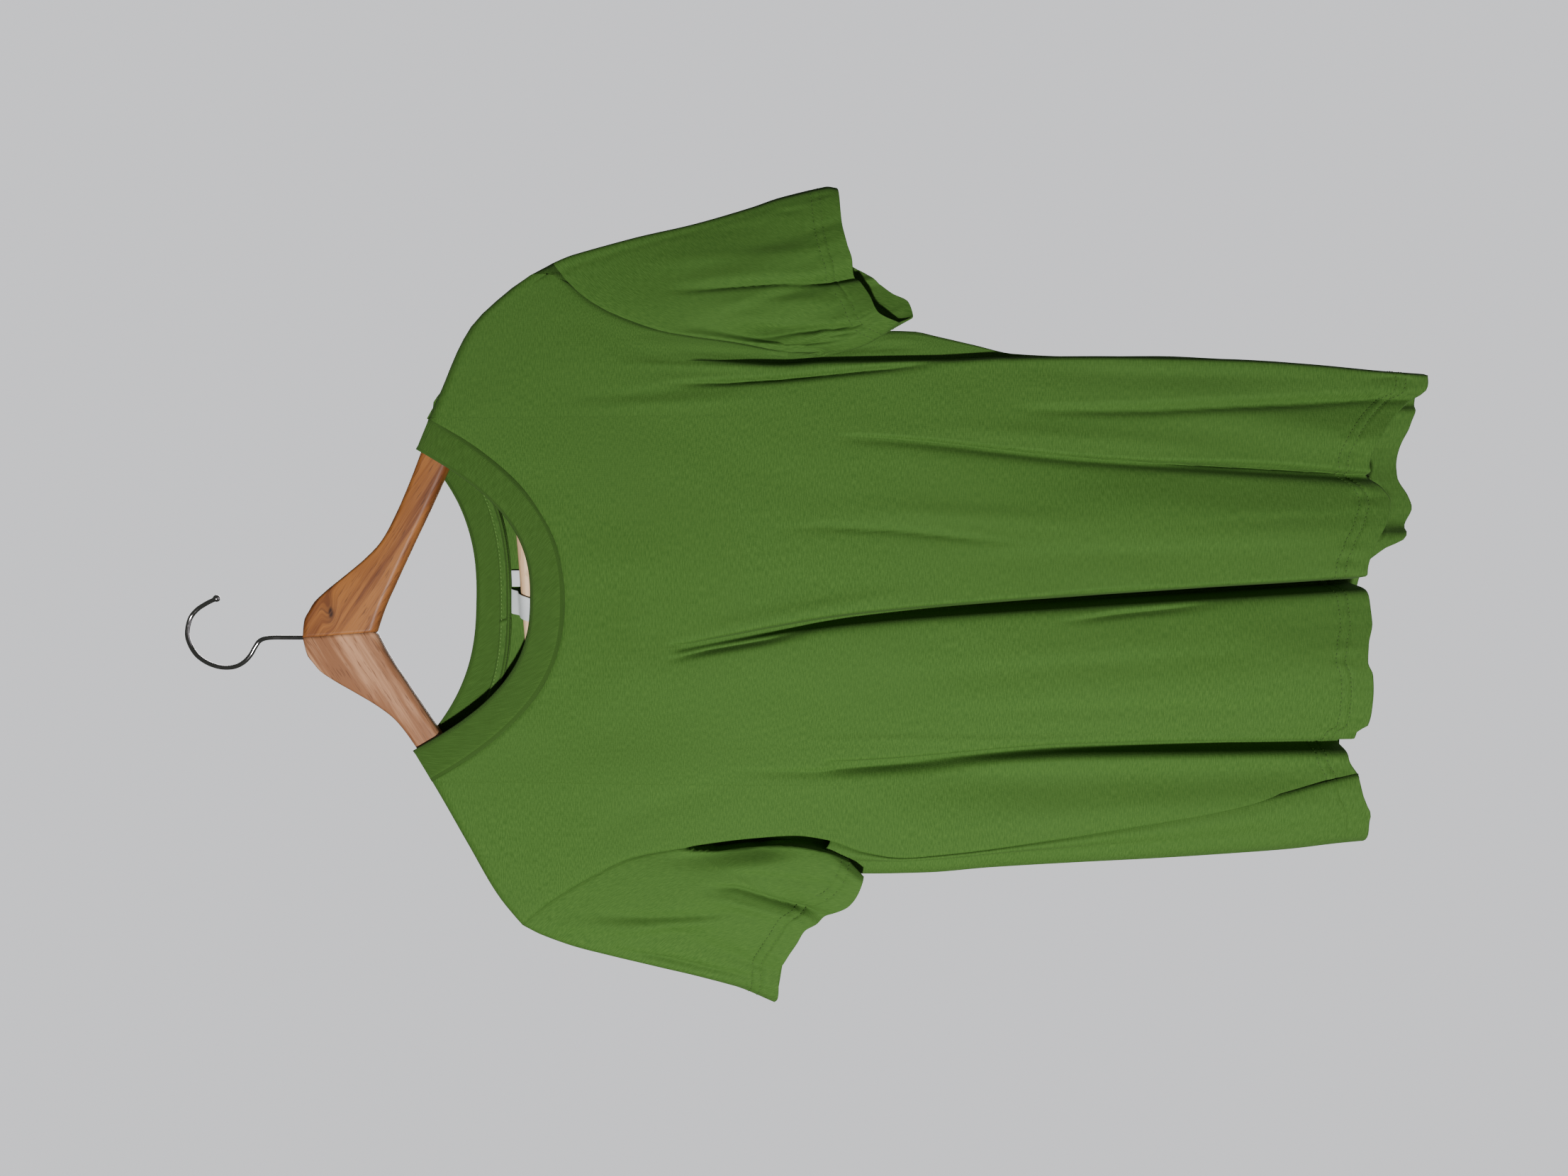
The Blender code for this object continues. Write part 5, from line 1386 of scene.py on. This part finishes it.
def row_above(points, up):
    """The line that lies a given way above a grid's last row, one point for each column, by the
    way run up the column."""
    rows, columns = points.shape[:2]
    spans = np.linalg.norm(np.diff(points, axis=0), axis=-1)
    run = np.pad(np.cumsum(spans[::-1], axis=0)[::-1], ((0, 1), (0, 0)))
    low = np.clip((run > up).sum(axis=0) - 1, 0, rows - 2)
    column = np.arange(columns)
    part = ((run[low, column] - up) / spans[low, column])[:, None]
    return points[low, column] * (1 - part) + points[low + 1, column] * part


def stitch_row(path, out, pitch, long, lift, slant=0.0):
    """Stitches along a path, evenly spaced by the way run: at each place the stitch's rings are
    set out along the path's direction (turned by slant), round it in its normal and sideways."""
    run = way_along(path)
    places = np.arange(pitch / 2, run[-1], pitch)

    def read(at, what):
        return np.stack([np.interp(at, run, what[:, i]) for i in range(3)], axis=-1)

    middle = read(places, path)
    tangent = read(places + pitch / 3, path) - read(places - pitch / 3, path)
    tangent /= np.linalg.norm(tangent, axis=1, keepdims=True)
    normal = read(places, out)
    normal -= tangent * (normal * tangent).sum(axis=1, keepdims=True)
    normal /= np.linalg.norm(normal, axis=1, keepdims=True)
    aside = np.cross(tangent, normal)
    tangent, aside = (
        tangent * math.cos(slant) + aside * math.sin(slant),
        aside * math.cos(slant) - tangent * math.sin(slant),
    )
    turn = np.arange(STITCH_SIDES) / STITCH_SIDES * 2 * math.pi
    ring = np.array(STITCH)
    along = (ring[:, 0] * long / 2)[:, None] * np.ones(STITCH_SIDES)
    high = lift - THREAD * 1.5 * np.abs(ring[:, :1]) ** 3 + THREAD * ring[:, 1:] * np.sin(turn)
    wide = THREAD * ring[:, 1:] * np.cos(turn)
    shape = np.stack([along, high, wide]).reshape(3, -1, 1)
    axes = np.stack([tangent, normal, aside])[:, :, None]
    return middle[:, None] + sum(axes[i] * shape[i] for i in range(3))


def sew(name, rows, material):
    """All the stitches of some rows as one mesh: each is a short closed tube of its own."""
    points = np.concatenate(rows)
    each = points.shape[1]
    step, side = np.arange(len(STITCH) - 1)[:, None], np.arange(STITCH_SIDES)
    corners = [(0, 0), (0, 1), (1, 1), (1, 0)]
    tube = np.stack([(step + i) * STITCH_SIDES + (side + j) % STITCH_SIDES for i, j in corners],
                    axis=-1).reshape(-1, 4)
    caps = np.array([range(STITCH_SIDES - 1, -1, -1), range(each - STITCH_SIDES, each)])
    start = (np.arange(len(points)) * each)[:, None, None]
    faces = (start + tube).reshape(-1, 4).tolist()
    faces += (start + caps).reshape(-1, STITCH_SIDES).tolist()
    made = as_object(name, points.reshape(-1, 3), faces, material)
    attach(made, "root")


def thread_finish(name, dull, bright):
    """Spun green thread: fine fibres, uneven along it."""
    material, shade, link = start_finish(name, {"Specular IOR Level": 0.3})
    fibre = shade.own_place().noise(2600.0, Detail=2.0)
    colour = fibre.between(0.3, 0.7).mixed((*dull, 1), (*bright, 1))
    link({
        "Base Color": colour, "Roughness": 0.6 + 0.25 * fibre, "Normal": fibre.bump(0.4, 0.0001),
    })
    return material


def hem_stitches(points, out, heights):
    """Rows of stitches at some heights above a grid's last row, with the normals given."""
    return [stitch_row(row_above(points, up), out, *HEM_STITCH, ON_JERSEY) for up in heights]


thread = thread_finish("hem thread", (0.020, 0.050, 0.006), (0.040, 0.092, 0.014))
light_thread = thread_finish("neck thread", (0.060, 0.130, 0.022), (0.110, 0.210, 0.050))
back_hem = back_points[BACK_ROW_AT_SIDE:]
back_out = normals_of(back_hem)[-3]
behind, wrapped = slice(len(WRAP), None), slice(None, len(WRAP))
rows = hem_stitches(front_points, normals_of(front_points)[-3], HEM_ROWS)
rows += hem_stitches(back_hem[:, behind], -back_out[behind], HEM_ROWS)
rows += hem_stitches(back_hem[:, wrapped], back_out[wrapped], HEM_ROWS)
sew("hem_stitches", rows, thread)

rows = []
for points in sleeve_points.values():
    ring = np.concatenate([points, points[:, :1]], axis=1)
    outwards = ring[-3] - ring[-3].mean(axis=0)
    outwards[:, 1] = np.where(outwards[:, 1] < 0, -1, 1) * FLAT_CUFF
    rows += hem_stitches(ring, outwards, CUFF_ROWS)
sew("cuff_stitches", rows, thread)

tape_x = np.linspace(TAPE_X[0] + 1, TAPE_X[1] - 1, 200)
rows = []
for above_edge in (TAPE_EDGE, TAPE_ABOVE + TAPE_BELOW - TAPE_EDGE):
    tape_drop = neck("back seam", tape_x) - TAPE_ABOVE + above_edge
    path = as_points(tape_x, tape_y(tape_x, tape_drop) - 0.5, tape_drop)
    forwards = np.tile((0.0, -1.0, 0.0), (len(tape_x), 1))
    rows.append(stitch_row(path, forwards, *TAPE_STITCH, TAPE / 2))
sew("neck_stitches", rows, light_thread)

edge_line = row_above(back_hem[:, behind], HEM_DEPTH)
sew("hem_overlock", [
    stitch_row(edge_line, back_out[behind], *OVERLOCK_STITCH, ON_JERSEY, slant)
    for slant in OVERLOCK_SLANTS
], light_thread)
